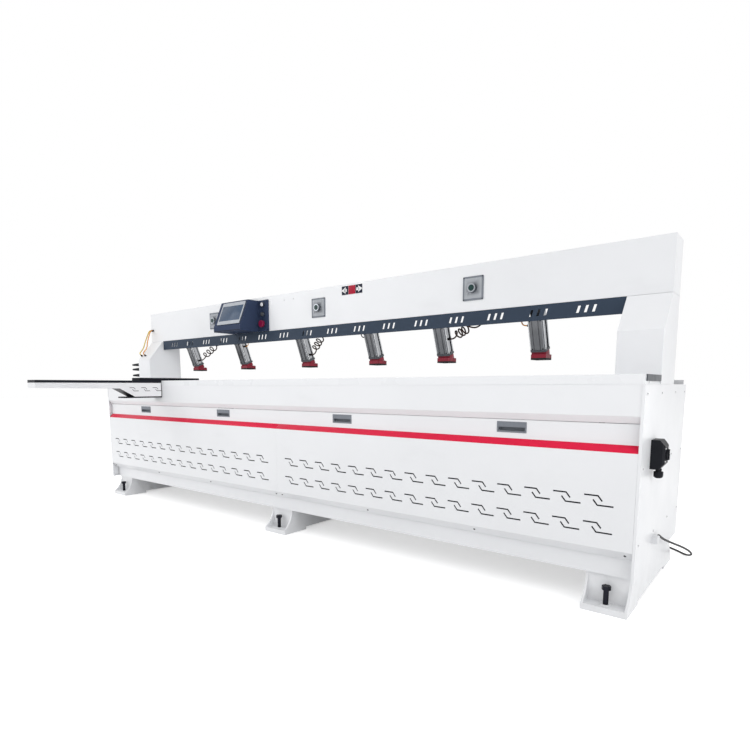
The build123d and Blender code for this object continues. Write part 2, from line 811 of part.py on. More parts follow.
# Console: a wedge with the screen and a box with three operators
slope_run = console_slope_depth - console_lip_depth
slope_rise = console_top - console_lip_top
slope_length = sqrt(slope_run ** 2 + slope_rise ** 2)
slope_normal = (0.0, -slope_rise / slope_length, slope_run / slope_length)
slope_middle = (
    screen_place, front + (console_lip_depth + console_slope_depth) / 2, (console_lip_top + console_top) / 2)
with BuildPart() as console_housing:
    wedge = [
        (beam_front_depth, console_bottom), (console_lip_depth, console_bottom),
        (console_lip_depth, console_lip_top), (console_slope_depth, console_top),
        (beam_front_depth, console_top)]
    side_profile(wedge, console_left, console_split)
    block((console_split, console_box_depth, console_bottom), (console_right, beam_front_depth, console_top))
    offset(amount=-console_wall, openings=console_housing.faces().filter_by(Axis.Y).group_by(Axis.Y)[-1])
save(console_housing, "console_housing")

with BuildPart() as touch_screen:
    screen_plane = Plane(origin=slope_middle, x_dir=(1, 0, 0), z_dir=slope_normal)
    with BuildSketch(screen_plane):
        RectangleRounded(screen_width, screen_height, screen_thickness)
    extrude(amount=screen_thickness)
    with BuildSketch(screen_plane.offset(screen_thickness)):
        Rectangle(screen_width - 2 * screen_side_border, screen_height - 2 * screen_end_border)
    extrude(amount=-screen_recess, mode=Mode.SUBTRACT)
save(touch_screen, "touch_screen")

# Button stations, bezels and operators
with BuildPart() as station_plates:
    station_front = beam_front_depth - station_thickness
    with BuildSketch(front_plane(beam_front_depth)):
        with Locations(*[(place, station_level) for place in station_places]):
            RectangleRounded(station_width, station_height, station_thickness)
    extrude(amount=station_thickness)
save(station_plates, "station_plates")

station_bore = station_button_diameter + 2 * slide_gap
bezel_bore = button_diameter + 2 * slide_gap
station_spots = [(place, station_level) for place in station_places]
console_spots = [(console_button_place, start_level), (console_button_place, key_level)]
estop_spot = (console_button_place, estop_level)
with BuildPart() as button_bezels:
    for ring_depth, ring_height, ring_bore, ring_wall, ring_spots in (
            (station_front, station_bezel_height, station_bore, station_bezel_wall, station_spots),
            (console_box_depth, bezel_height, bezel_bore, bezel_wall, console_spots),
            (console_box_depth, estop_collar, bezel_bore, bezel_wall, [estop_spot])):
        with BuildSketch(front_plane(ring_depth)):
            with Locations(*ring_spots):
                Circle(ring_bore / 2 + ring_wall)
                Circle(ring_bore / 2, mode=Mode.SUBTRACT)
        extrude(amount=ring_height)
save(button_bezels, "button_bezels")

buttons = [(f"station_button_{side}", spot, station_front, station_bezel_height, station_button_diameter)
           for side, spot in zip(("left", "middle", "right"), station_spots)]
buttons.append(("start_button", console_spots[0], console_box_depth, bezel_height, button_diameter))
for button_name, spot, seat, ring_height, cap_diameter in buttons:
    button_thickness = ring_height + button_proud - button_travel - button_back_gap
    with BuildPart() as button:
        with BuildSketch(front_plane(seat - ring_height - button_proud + button_thickness)):
            with Locations(spot):
                Circle(cap_diameter / 2)
        extrude(amount=button_thickness)
        fillet(button.faces().sort_by(Axis.Y)[0].edges(), button_proud / 2)
    save(button, button_name)

with BuildPart() as key_selector:
    key_front = console_box_depth - bezel_height
    with BuildSketch(front_plane(console_box_depth - slide_gap)):
        with Locations(console_spots[1]):
            Circle(button_diameter / 2)
    extrude(amount=bezel_height)
    with BuildSketch(front_plane(key_front - slide_gap)):
        with Locations(console_spots[1]):
            SlotOverall(key_grip_length, key_grip_width, rotation=90)
    extrude(amount=key_grip_height)
save(key_selector, "key_selector")

with BuildPart() as estop_button:
    estop_back = console_box_depth - slide_gap - estop_travel
    estop_face = console_box_depth - estop_collar - estop_travel - slide_gap
    with BuildSketch(front_plane(estop_back)):
        with Locations(estop_spot):
            Circle(button_diameter / 2)
    extrude(amount=estop_back - estop_face)
    with BuildSketch(front_plane(estop_face)):
        with Locations(estop_spot):
            Circle(estop_diameter / 2)
    extrude(amount=estop_head)
    fillet(estop_button.faces().sort_by(Axis.Y)[0].edges(), estop_head / 4)
save(estop_button, "estop_button")

# Workpiece support arm in front of the table, its top layer and the side stop on it
arm_left = arm_right - arm_width
arm_body_top = table_height - arm_top_thickness
with BuildPart() as support_arm:
    arm_outline = [
        (slab_front_depth, arm_body_top), (-arm_reach, arm_body_top), (-arm_reach, arm_tip_bottom),
        (-arm_bend_reach, arm_bend_bottom), (-arm_root_reach, arm_root_bottom),
        (slab_front_depth, arm_root_bottom)]
    side_profile(arm_outline, arm_left, arm_right)
    offset(amount=-arm_wall, openings=support_arm.faces().filter_by(Axis.Y).sort_by(Axis.Y)[-1])
    with BuildSketch(Plane.YZ.offset(arm_left)):
        with Locations((front - arm_vent_reach, (arm_root_bottom + arm_body_top) / 2)):
            with GridLocations(arm_vent_pitch, 1, arm_vents, 1):
                add(scale(vent_figure.sketch, by=arm_vent_scale, mode=Mode.PRIVATE))
    extrude(amount=arm_width, mode=Mode.SUBTRACT)
save(support_arm, "support_arm")

with BuildPart() as arm_top:
    block((arm_left, -arm_reach, arm_body_top), (arm_right, slab_front_depth, table_height))
save(arm_top, "arm_top")

with BuildPart() as side_stop:
    stop_middle = (arm_left + arm_right) / 2
    block((stop_middle - stop_width / 2, -stop_front_reach, table_height),
          (stop_middle + stop_width / 2, stop_rear_depth, table_height + stop_height))
    chamfer(side_stop.edges().group_by(Axis.Z)[-1], stop_edge)
save(side_stop, "side_stop")

# Cable fittings on the left column and the link hoses over its shoulder
with BuildPart() as hose_glands:
    for rise in gland_rises:
        nut_plane = Plane(origin=(-half, front + gland_depth, table_height + rise), z_dir=(-1, 0, 0))
        with BuildSketch(nut_plane) as nut:
            RegularPolygon(gland_nut_width / 2, 6, major_radius=False)
        extrude(nut.sketch, amount=gland_nut_length)
        with BuildSketch(nut_plane.offset(gland_nut_length)) as cone_base:
            Circle(gland_nut_width / 2 - sheet)
        with BuildSketch(nut_plane.offset(gland_length)) as cone_tip:
            Circle(gland_tip / 2 + sheet)
        loft([cone_base.sketch.face(), cone_tip.sketch.face()])
save(hose_glands, "hose_glands")

shoulder_run = beam_front_depth - column_front_depth
shoulder_rise = beam_bottom - column_shoulder
shoulder_length = sqrt(shoulder_run ** 2 + shoulder_rise ** 2)
shoulder_normal = (0.0, -shoulder_rise / shoulder_length, shoulder_run / shoulder_length)
shoulder_way = (0.0, -shoulder_run / shoulder_length, -shoulder_rise / shoulder_length)
with BuildPart() as link_hoses:
    for place, foot_place in zip(link_places, link_feet):
        end_share = (beam_front_depth - link_end_depth) / shoulder_run
        foot_spot = Vector(foot_place, front + link_end_depth, beam_bottom - shoulder_rise * end_share)
        top_spot = Vector(place, front + beam_front_depth, link_level)
        with BuildLine() as link_path:
            FilletPolyline(
                top_spot + Vector(0, -link_fitting_length, 0),
                top_spot + Vector(0, -2 * link_fitting_length, 0),
                foot_spot + Vector(*shoulder_normal) * (link_lift + link_fitting_length)
                - Vector(*shoulder_way) * link_lift * 2,
                foot_spot + Vector(*shoulder_normal) * link_fitting_length,
                radius=link_lift)
        with BuildSketch(Plane(origin=link_path.line @ 0, z_dir=link_path.line % 0)) as link_section:
            Circle(link_tube / 2)
        sweep(link_section.sketch, path=link_path.line)
        round_bar((place, beam_front_depth, link_level), (0, -1, 0), link_fitting, link_fitting_length)
        round_bar((foot_place, link_end_depth, foot_spot.Z), shoulder_normal, link_fitting,
                  link_fitting_length)
save(link_hoses, "link_hoses")

# Isolator on the right end panel
with BuildPart() as isolator_box:
    box_front = half + isolator_proud
    box_bottom = isolator_level - isolator_height / 2
    box_top = isolator_level + isolator_height / 2
    slope_start = box_front - isolator_end_slope
    with BuildSketch(front_plane(isolator_depth + isolator_width / 2)):
        Polygon(
            (half, box_bottom), (slope_start, box_bottom), (box_front, box_bottom + isolator_end_rise),
            (box_front, box_top - isolator_end_rise), (slope_start, box_top), (half, box_top), align=None)
    extrude(amount=isolator_width)
    face_edges = isolator_box.faces().sort_by(Axis.X)[-1].edges()
    chamfer(face_edges.filter_by(Axis.Z), isolator_edge)
    round_bar((box_front, isolator_depth, isolator_level), (1, 0, 0), isolator_collar, isolator_collar_height)
    gland_x = half + isolator_proud / 2
    nut_top = box_bottom - isolator_gland_length + isolator_nut_length
    round_bar((gland_x, isolator_depth, box_bottom), (0, 0, -1), isolator_gland_diameter,
              isolator_gland_length)
    round_bar((gland_x, isolator_depth, nut_top), (0, 0, -1), isolator_nut_diameter, isolator_nut_length)
save(isolator_box, "isolator_box")

with BuildPart() as isolator_knob:
    knob_start = half + isolator_proud + isolator_collar_height + slide_gap
    round_bar((knob_start, isolator_depth, isolator_level), (1, 0, 0), knob_diameter, knob_height)
    with BuildSketch(Plane.YZ.offset(knob_start + knob_height)):
        with Locations((front + isolator_depth, isolator_level)):
            SlotOverall(knob_grip_length, knob_grip_width, rotation=90)
    extrude(amount=knob_grip_height)
save(isolator_knob, "isolator_knob")

# Mains cable: outlet, free stretch, put-away coil and plug behind the machine
outlet_x = half + outlet_proud / 2
outlet_end = outlet_depth + outlet_nut_length
with BuildPart() as cable_gland:
    block((half, outlet_depth - outlet_width, outlet_level - outlet_height / 2),
          (half + outlet_proud, outlet_depth, outlet_level + outlet_height / 2))
    fillet(cable_gland.faces().sort_by(Axis.X)[-1].edges(), outlet_edge)
    round_bar((outlet_x, outlet_depth, outlet_level), (0, 1, 0), outlet_nut_diameter, outlet_nut_length)
save(cable_gland, "cable_gland")

cable_rest = cable_diameter / 2 + slide_gap
coil_turns = 2 * coil_layer_turns
coil_least_radius = coil_mid_diameter / 2 - coil_step * coil_layer_turns / 2


def coil(turn):
    """Return the point of the coil after a count of turns: inwards, up one layer and out again."""
    from_middle = turn - coil_layer_turns
    radius = coil_least_radius + coil_step * sqrt(from_middle ** 2 + 0.01)
    climb = min(max(from_middle * 2 + 0.5, 0.0), 1.0)
    level = cable_rest + coil_step * climb * climb * (3 - 2 * climb)
    angle = 2 * pi * turn
    return Vector(coil_x - radius * sin(angle), front + coil_depth + radius * cos(angle), level)


coil_way_in = (coil(0.001) - coil(-0.001)).normalized()
coil_way_out = (coil(coil_turns + 0.001) - coil(coil_turns - 0.001)).normalized()
coil_lead_in = coil(0) - coil_way_in * cable_diameter
coil_lead_out = coil(coil_turns) + coil_way_out * plug_lead
with BuildPart() as mains_coil:
    with BuildLine() as coil_path:
        Line(coil_lead_in, coil(0))
        winding(coil, coil_turns)
        Line(coil(coil_turns), coil_lead_out)
    with BuildSketch(Plane(origin=coil_lead_in, z_dir=coil_way_in)):
        Circle(cable_diameter / 2)
    sweep(path=coil_path.line)
save(mains_coil, "mains_coil")
print(f"coil: least gap {least_gap(coil, coil_turns, cable_diameter):.2f} mm,"
      f" length {coil_path.wire().length:.0f} mm")

cable_route = [
    (outlet_x, outlet_end, outlet_level), (outlet_x, outlet_end + outlet_run, outlet_level),
    (1958, 470, 203), (1972, 590, 162), (1994, 710, 120), (2014, 815, 78), (2018, 905, 36),
    (1986, 985, cable_rest), (1927, 1053, cable_rest), (1860, 1112, cable_rest), (1780, 1146, cable_rest),
    (1690, 1157, cable_rest)]
cable_points = [Vector(x, front + depth, level) for x, depth, level in cable_route]
cable_points += [coil_lead_in - coil_way_in * coil_lead_run, coil_lead_in]
cable_radii = []
for number in range(1, len(cable_points) - 1):
    run_in = cable_points[number] - cable_points[number - 1]
    run_out = cable_points[number + 1] - cable_points[number]
    turn = radians(run_in.get_angle(run_out))
    cable_radii.append(0.45 * min(run_in.length, run_out.length) / tan(turn / 2))
with BuildPart() as mains_cable:
    with BuildLine() as cable_path:
        FilletPolyline(*cable_points, radius=cable_radii)
    with BuildSketch(Plane(origin=cable_path.line @ 0, z_dir=cable_path.line % 0)):
        Circle(cable_diameter / 2)
    sweep(path=cable_path.line)
save(mains_cable, "mains_cable")
cable_section = pi * cable_diameter ** 2 / 4
print("cable radii", [round(radius) for radius in cable_radii])
cable_length = cable_path.wire().length
print(f"cable length {cable_length:.0f} mm, volume over section times length"
      f" {mains_cable.part.volume / cable_section / cable_length:.4f}")

with BuildPart() as mains_plug:
    plug_plane = Plane(origin=coil_lead_out, x_dir=(0, 0, 1), z_dir=coil_way_out)
    with BuildSketch(plug_plane):
        Circle(plug_neck_diameter / 2)
    extrude(amount=plug_neck_length)
    plug_rise = plug_diameter / 2 + slide_gap - coil_lead_out.Z
    body_plane = plug_plane.offset(plug_neck_length)
    with BuildSketch(body_plane):
        with Locations((plug_rise, 0)):
            Circle(plug_diameter / 2)
    extrude(amount=plug_length)
    with BuildSketch(body_plane.offset(plug_length)):
        with Locations((plug_rise, -plug_pin_spacing / 2), (plug_rise, plug_pin_spacing / 2)):
            Circle(plug_pin_diameter / 2)
    extrude(amount=plug_pin_length)
save(mains_plug, "mains_plug")

# Drilling unit: rails and drive screw on the base frame
rail_depths = (rail_beam_front_depth + rail_inset, rail_beam_rear_depth - rail_inset)
rail_top = rail_beam_top + rail_size
bearing_right = carriage_park + carriage_length / 2 + saddle_gap
with BuildPart() as x_rails:
    for depth in rail_depths:
        block((rail_left, depth - rail_size / 2, rail_beam_top),
              (bearing_right + screw_bearing_width, depth + rail_size / 2, rail_top))
save(x_rails, "x_rails")

block_top = screw_level + screw_diameter / 2 + screw_block_wall
with BuildPart() as screw_bearings:
    for low_x in (motor_end, bearing_right):
        block((low_x, screw_depth - screw_block_depth / 2, rail_beam_top),
              (low_x + screw_bearing_width, screw_depth + screw_block_depth / 2, block_top))
        round_bar((low_x, screw_depth, screw_level), (1, 0, 0), screw_diameter + 2 * running_gap,
                  screw_bearing_width, Mode.SUBTRACT)
save(screw_bearings, "screw_bearings")

with BuildPart() as drive_screw:
    screw_start = motor_end + slide_gap
    round_bar((screw_start, screw_depth, screw_level), (1, 0, 0), screw_diameter,
              bearing_right + screw_bearing_width - screw_start)
save(drive_screw, "drive_screw")

with BuildPart() as drive_motor:
    motor_half = drive_motor_size / 2
    block((motor_end - drive_motor_length, screw_depth - motor_half, screw_level - motor_half),
          (motor_end, screw_depth + motor_half, screw_level + motor_half))
    chamfer(drive_motor.edges().filter_by(Axis.X), spindle_edge)
save(drive_motor, "drive_motor")

# Carriage: plate on saddles and a nut, with four guide posts and the lift cylinder
plate_bottom = rail_top + saddle_top_gap
plate_top = plate_bottom + carriage_thickness
saddle_bottom = rail_beam_top + saddle_gap
cylinder_depth = (guide_front_depth + guide_rear_depth) / 2
guide_spots = [(carriage_park + sign * guide_offset, depth)
               for sign in (-1, 1) for depth in (guide_front_depth, guide_rear_depth)]
with BuildPart() as carriage:
    block((carriage_park - carriage_length / 2, carriage_front_depth, plate_bottom),
          (carriage_park + carriage_length / 2, carriage_rear_depth, plate_top))
    for depth in rail_depths:
        for sign in (-1, 1):
            saddle = carriage_park + sign * saddle_offset
            block((saddle - saddle_length / 2, depth - saddle_width / 2, saddle_bottom),
                  (saddle + saddle_length / 2, depth + saddle_width / 2, plate_bottom))
        channel = rail_size / 2 + slide_gap
        block((carriage_park - carriage_length / 2, depth - channel, rail_beam_top),
              (carriage_park + carriage_length / 2, depth + channel, rail_top + slide_gap), Mode.SUBTRACT)
    block((carriage_park - nut_length / 2, screw_depth - screw_block_depth / 2, saddle_bottom),
          (carriage_park + nut_length / 2, screw_depth + screw_block_depth / 2, plate_bottom))
    round_bar((carriage_park - carriage_length / 2, screw_depth, screw_level), (1, 0, 0),
              screw_diameter + 2 * slide_gap, carriage_length, Mode.SUBTRACT)
    for spot in guide_spots:
        round_bar((*spot, plate_top), (0, 0, 1), guide_diameter, guide_length)
    round_bar((carriage_park, cylinder_depth, plate_top), (0, 0, 1), lift_cylinder_diameter,
              lift_cylinder_length)
    round_bar((carriage_park, cylinder_depth, plate_top), (0, 0, 1), lift_rod_diameter + 2 * slide_gap,
              lift_cylinder_length, Mode.SUBTRACT)
save(carriage, "carriage")

# Lift shelf on the guide posts, with the cross rails of the feed
cross_rail_top = shelf_top + cross_rail_size
with BuildPart() as lift_shelf:
    block((carriage_park - carriage_length / 2, shelf_front_depth, shelf_bottom),
          (carriage_park + carriage_length / 2, carriage_rear_depth, shelf_top))
    for sign in (-1, 1):
        middle = carriage_park + sign * cross_rail_offset
        block((middle - cross_rail_size / 2, shelf_front_depth, shelf_top),
              (middle + cross_rail_size / 2, carriage_rear_depth, cross_rail_top))
    for spot in guide_spots:
        round_bar((*spot, shelf_bottom), (0, 0, 1), guide_diameter + 2 * slide_gap, shelf_thickness,
                  Mode.SUBTRACT)
    round_bar((carriage_park, cylinder_depth, shelf_bottom), (0, 0, -1), lift_rod_diameter, lift_rod_length)
save(lift_shelf, "lift_shelf")

# Feed slide, spindle, chuck and bit
with BuildPart() as feed_slide:
    block((carriage_park - feed_width / 2, feed_front_depth, feed_bottom),
          (carriage_park + feed_width / 2, feed_front_depth + feed_length, feed_top))
    for sign in (-1, 1):
        middle = carriage_park + sign * cross_rail_offset
        block((middle - runner_width / 2, feed_front_depth, shelf_top + saddle_gap),
              (middle + runner_width / 2, feed_front_depth + feed_length, feed_bottom))
        channel = cross_rail_size / 2 + slide_gap
        block((middle - channel, feed_front_depth, shelf_top),
              (middle + channel, feed_front_depth + feed_length, cross_rail_top + slide_gap), Mode.SUBTRACT)
save(feed_slide, "feed_slide")

with BuildPart() as spindle_motor:
    block((carriage_park - spindle_size / 2, spindle_front_depth, feed_top),
          (carriage_park + spindle_size / 2, spindle_front_depth + spindle_length, feed_top + spindle_size))
    chamfer(spindle_motor.edges().filter_by(Axis.Y), spindle_edge)
    round_bar((carriage_park, spindle_front_depth, spindle_axis), (0, 1, 0),
              spindle_shaft_diameter + 2 * running_gap, spindle_shaft_length + slide_gap, Mode.SUBTRACT)
save(spindle_motor, "spindle_motor")

with BuildPart() as drill_chuck:
    chuck_back = spindle_front_depth - slide_gap
    round_bar((carriage_park, chuck_back, spindle_axis), (0, -1, 0), chuck_diameter, chuck_length)
    round_bar((carriage_park, chuck_back, spindle_axis), (0, 1, 0), spindle_shaft_diameter,
              spindle_shaft_length)
    chamfer(drill_chuck.faces().sort_by(Axis.Y)[0].edges(), spindle_shaft_diameter / 8)
save(drill_chuck, "drill_chuck")

with BuildPart() as drill_bit:
    bit_back = chuck_back - chuck_length
    round_bar((carriage_park, bit_back, spindle_axis), (0, -1, 0), bit_diameter, bit_length)
    chamfer(drill_bit.faces().sort_by(Axis.Y)[0].edges(), bit_diameter / 8)
save(drill_bit, "drill_bit")
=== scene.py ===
"""Finishes, lead, hoses and trim for a side hole drilling machine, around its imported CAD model.

Metres. +X runs along the table to the right, +Y to the back and +Z up. Places are written in
millimetres as x, depth behind the front of the feet, and height, as in the part's source.
"""

from math import atan2, cos, pi, radians, sin, sqrt

import bpy
from mathutils import Matrix, Vector


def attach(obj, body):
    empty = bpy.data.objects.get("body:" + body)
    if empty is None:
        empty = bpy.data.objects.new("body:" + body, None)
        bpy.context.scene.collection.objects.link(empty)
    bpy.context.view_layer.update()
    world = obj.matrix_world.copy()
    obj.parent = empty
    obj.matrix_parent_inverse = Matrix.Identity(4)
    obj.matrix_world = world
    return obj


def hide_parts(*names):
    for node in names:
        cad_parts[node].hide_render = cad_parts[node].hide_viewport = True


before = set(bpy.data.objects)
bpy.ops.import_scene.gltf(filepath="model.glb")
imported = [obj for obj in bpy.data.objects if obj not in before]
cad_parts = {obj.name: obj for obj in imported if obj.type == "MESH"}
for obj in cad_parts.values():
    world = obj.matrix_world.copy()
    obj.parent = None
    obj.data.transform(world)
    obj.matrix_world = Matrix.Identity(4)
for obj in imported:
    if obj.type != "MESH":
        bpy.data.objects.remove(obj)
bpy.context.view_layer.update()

bl_info = {
    "name": "Side hole drilling machine",
    "version": (1, 0, 0),
    "blender": (4, 5, 0),
    "location": "View3D > Sidebar > Side drill",
    "description": "Dresses the packed model of a side hole drilling machine",
    "category": "Object",
}

FRONT_LINE = -0.440
RIGHT, LEFT = Vector((1, 0, 0)), Vector((-1, 0, 0))
BACK, FRONT = Vector((0, 1, 0)), Vector((0, -1, 0))
UP, DOWN = Vector((0, 0, 1)), Vector((0, 0, -1))
WHITE = (1.0, 1.0, 1.0, 1.0)
SHARP_ANGLE = radians(35.0)
ARC_STEPS = 5

# The camera's own right, up and back. A lamp has its name, place, aim, size and spread in degrees.
CAMERA_AXES = (
    Vector((0.7871, 0.6168, -0.0021)), Vector((-0.0770, 0.1016, 0.9918)),
    Vector((0.6120, -0.7805, 0.1275)))
LAMPS = (
    ("key", (6.2, -3.0, 4.0), (0.6, 0.0, 0.7), 4.0, 180.0),
    ("fill", (-4.5, -4.5, 3.4), (-0.8, 0.0, 0.7), 4.0, 180.0),
    ("side", (5.0, -1.8, 1.2), (-1.9, 0.1, 1.1), 1.0, 24.0),
)

# Clamps: their axes lean forward from the middle of the foot, and run across, back and up. The
# profile of a turned piece, here and below, is pairs of a place along its axis and a radius.
CLAMP_PLACES = (-1430.0, -827.0, -193.0, 377.0, 850.0, 1374.0)
CLAMP_FOOT = (512.0, 983.0)
CLAMP_LEAN = radians(20.4)
CLAMP_UP = Vector((0.0, -sin(CLAMP_LEAN), cos(CLAMP_LEAN)))
CLAMP_BACK = Vector((0.0, cos(CLAMP_LEAN), sin(CLAMP_LEAN)))
BARREL_SIDE = 32
GUIDE_ROD_SIDES = (-17, 17)
CAP_HOLE = ((0, 8.6), (30, 8.6))
WIPER_HOLE = ((0, 8.5), (30, 8.5))
WIPER, WIPER_LEVEL = ((0, 11.6), (1.6, 11.6), (2.4, 10.6)), 49.2
TIE_ROD, TIE_ROD_LEVEL = ((0, 3.6), (143, 3.6)), 60
TIE_ROD_SIDES, TIE_ROD_BACKS = (-35.6, 35.6), (-22, 22)
LOWER_CAP, LOWER_CAP_LEVEL = (76, 55, 13), 53.8
UPPER_CAP, UPPER_CAP_LEVEL = (78, 67, 6), 205
CAP_SCREW_SIDES, CAP_SCREW_SPOTS = (-26, 26), ((-33.2, 199), (-32.0, 64))
CROWN, CROWN_LEVEL = (73, 44.8, 23.8), 34
# Where the shoes' paint ends, in metres: the rods start along the clamp, and the pad by height.
SHOE_TOP, PAD_TOP = 0.9424, 0.9914

# Feed hoses: the side of the clamp's fitting and the hose's finish, for three of the clamps.
FEED_CLAMPS = {1: (1, "orange"), 3: (-1, "hose"), 5: (-1, "orange")}
FEED_LEVEL = 172
FEED_BEND = ((19, 0, 0), (44, 0, 0), (50, -3, 34), (48, -4, 84))
FEED_ELBOW = ((0, 6.5), (6, 6.5), (6.4, 5.2), (10, 5.2), (10.4, 6.4), (18, 6.4), (19, 5.0))

# Curly hoses: clamp, height of the port, reach to the right, way to the first loop and pitch, and
# the drawn length in metres.
CURLS = ((0, 86, 348, 100, 56, 0.72), (2, 86, 170, 62, 32, 0.61), (4, 131, 216, 50, 22, 0.67))
CURL_TURNS, CURL_STEPS, CURL_RADIUS = 3, 16, 0.021
FITTING_REACH, CURL_LEAVE = 0.014, 0.008
CURL_END_DEPTH, CURL_END_LEVEL, CURL_END_RISE = 436, 1192, 0.036
CURL_PORT = ((0, 7), (5, 7), (5.3, 5.4), (7, 5.4), (7.3, 6.8), (12, 6.8), (14, 5.2))
CURL_END = ((0, 8), (4, 8), (4.3, 6.0), (12, 5.6), (14, 4.8))

# Link hoses: where each leaves the cover and where it ends on the column's shoulder. The route has
# the hundredths of the way across, depth and height, and the tail lies along the shoulder.
LINK_PLACES = ((-1928.0, -1930.0), (-1908.0, -1876.0))
LINK_TOP, LINK_FOOT_DEPTH = 1322, 300
LINK_ROUTE = ((0, 386, LINK_TOP), (0, 373, 1319), (12, 357, 1286), (48, 330, 1222))
LINK_RAISE, LINK_TAIL = 0.030, (0.060, 0.022, 0.0)
LINK_END = ((0, 7.5), (6, 7.5), (6.3, 6.0), (9, 6.0), (9.3, 6.8), (13, 6.6), (14, 5.0))
SHOULDER_TOP, SHOULDER_DEPTH, SHOULDER_DROP = 1228, 128, 152

# Mains lead: its route to the floor, and the coil of the unseen rest.
LEAD_LEVEL = 5.05
LEAD_ROUTE = (
    (1955, 338, 242), (1955, 372, 242), (1958, 470, 203), (1972, 590, 162), (1994, 710, 120),
    (2014, 815, 78), (2018, 905, 36), (1986, 985, LEAD_LEVEL), (1927, 1053, LEAD_LEVEL),
    (1860, 1112, LEAD_LEVEL), (1780, 1146, LEAD_LEVEL), (1690, 1157, LEAD_LEVEL),
)
LEAD_BOOT = (
    (0, 9.0), (5, 9.0), (6, 7.8), (10, 7.6), (11, 8.2), (13, 8.2), (14, 7.2), (17, 7.0), (18, 7.7),
    (20, 7.7), (21, 6.8), (24, 6.6), (25, 7.2), (27, 7.2), (28, 6.5), (30, 6.3),
)
COIL_X, COIL_DEPTH = 1560, 1096
COIL_TURNS, COIL_STEPS, COIL_CORE, COIL_GAP = 4, 18, 42.7, 10.3
COIL_LEAD_IN, COIL_LEAD_OUT = (0.0655, 0.0095), (0.036, 0.072)

# Cover, console and base.
COVER_FACE = 400
SIGN_X, SIGN_LEVEL = 271, 1418.5
STATION_PLACES, STATION_LEVEL = (-1059.0, 0.0, 1059.0), 1339
STATION_HOLE = ((-2, 22.0), (12, 22.0))
SCREEN_PLACE, SCREEN = (-689, 271.5, 1348), (218.4, 110.4, 1.6)
SLOPE_OUT = Vector((0, -172, 73)).normalized()
SLOPE_UP = Vector((0, 73, 172)).normalized()
STRIPE_RISE = Vector((0, 23, 27)).normalized()
STRIPE_OUT = Vector((0, -27, 23)).normalized()
STRIPE_DEPTH, STRIPE_LEVEL, STRIPE_WIDTH = 13.5, 631.5, 34.6
PANEL_VENTS, ARM_VENTS, LINER = ((-1915, 10), (46, 1915)), (-1254.6, -1154.6), 1.2
END_FACE = 1943
ISOLATOR_DEPTH, ISOLATOR_LEVEL = 195, 602
ISOLATOR_NUT = ((0, 16.4), (2, 17.2), (15, 17.2), (19, 16.2), (24, 12.0), (25, 9.0))
FOOT_PLACES, FOOT_LEDGES = (-1843.0, 0.0, 1843.0), (36, 844)
FOOT_BOSS = ((-0.5, 19.0), (2.0, 19.0), (3.0, 18.0), (3.0, 11.0), (1.0, 10.4))

# Drilling unit: where it is parked, and its spindle.
PARK, SPINDLE_LEVEL = 1740.0, 912
CHUCK = (
    (0, 11.0), (2, 11.6), (14, 11.6), (15, 10.6), (17, 10.6), (18, 11.6), (28, 11.4), (34, 8.0),
    (36, 6.0),
)
BIT_RADIUS, BIT_LENGTH, BIT_TWIST = 0.004, 0.070, radians(900)


def colour(name, words, default):
    """Return a colour property."""
    return bpy.props.FloatVectorProperty(
        name=name, description=words, default=default, subtype="COLOR", size=3, min=0.0, max=1.0)


def measure(name, words, default, **more):
    """Return a number property."""
    return bpy.props.FloatProperty(name=name, description=words, default=default, **more)


def length(name, words, default):
    """Return a length property in metres."""
    return measure(name, words, default, unit="LENGTH", min=0.0, precision=4)


class SideDrillColours(bpy.types.PropertyGroup):
    """Colours of the machine's finishes."""

    white: colour("White paint", "Sheet metal and structure", (0.80, 0.81, 0.83))
    red: colour("Red stripe", "Shoulder of the front panels", (0.68, 0.008, 0.050))
    shoe: colour("Shoe red", "Pressing shoes of the clamps", (0.26, 0.006, 0.026))
    slate: colour("Slate paint", "Slotted strip under the beam", (0.036, 0.053, 0.082))
    console: colour("Console", "Console housing", (0.032, 0.047, 0.092))
    grey: colour("Grey plastic", "Pulls and button plates", (0.20, 0.22, 0.25))
    station: colour("Station panel", "Raised panels of the button stations", (0.40, 0.42, 0.45))
    black: colour("Black", "Arm top, stop, isolator and bolts", (0.007, 0.008, 0.012))
    metal: colour("Aluminium", "Clamp barrels and drilling unit", (0.21, 0.215, 0.225))
    hose: colour("Curly hose", "Curly air hoses", (0.030, 0.016, 0.012))
    orange: colour("Orange hose", "Second link hose and the clamps' feed hoses", (0.50, 0.20, 0.03))
    yellow: colour("Yellow hose", "First link hose on the left column", (0.44, 0.32, 0.04))
    navy: colour("Sign blue", "Outer blocks of the travel sign", (0.008, 0.011, 0.028))
    glass: colour("Screen", "Glass of the console's screen", (0.040, 0.066, 0.112))


class SideDrillSizes(bpy.types.PropertyGroup):
    """Sizes of the loose and small pieces."""

    lead_diameter: length("Lead diameter", "Mains lead", 0.0095)
    lead_length: length("Lead length", "Mains lead from gland to plug", 2.59)
    curl_diameter: length("Curly hose", "Tube of the curly hoses", 0.008)
    link_diameter: length("Link hose", "Tube of the link hoses", 0.008)
    stripe_proud: length("Stripe", "Thickness of the shoulder stripe", 0.001)
    screw_head: length("Screw head", "Radius of a panel screw's head", 0.0045)


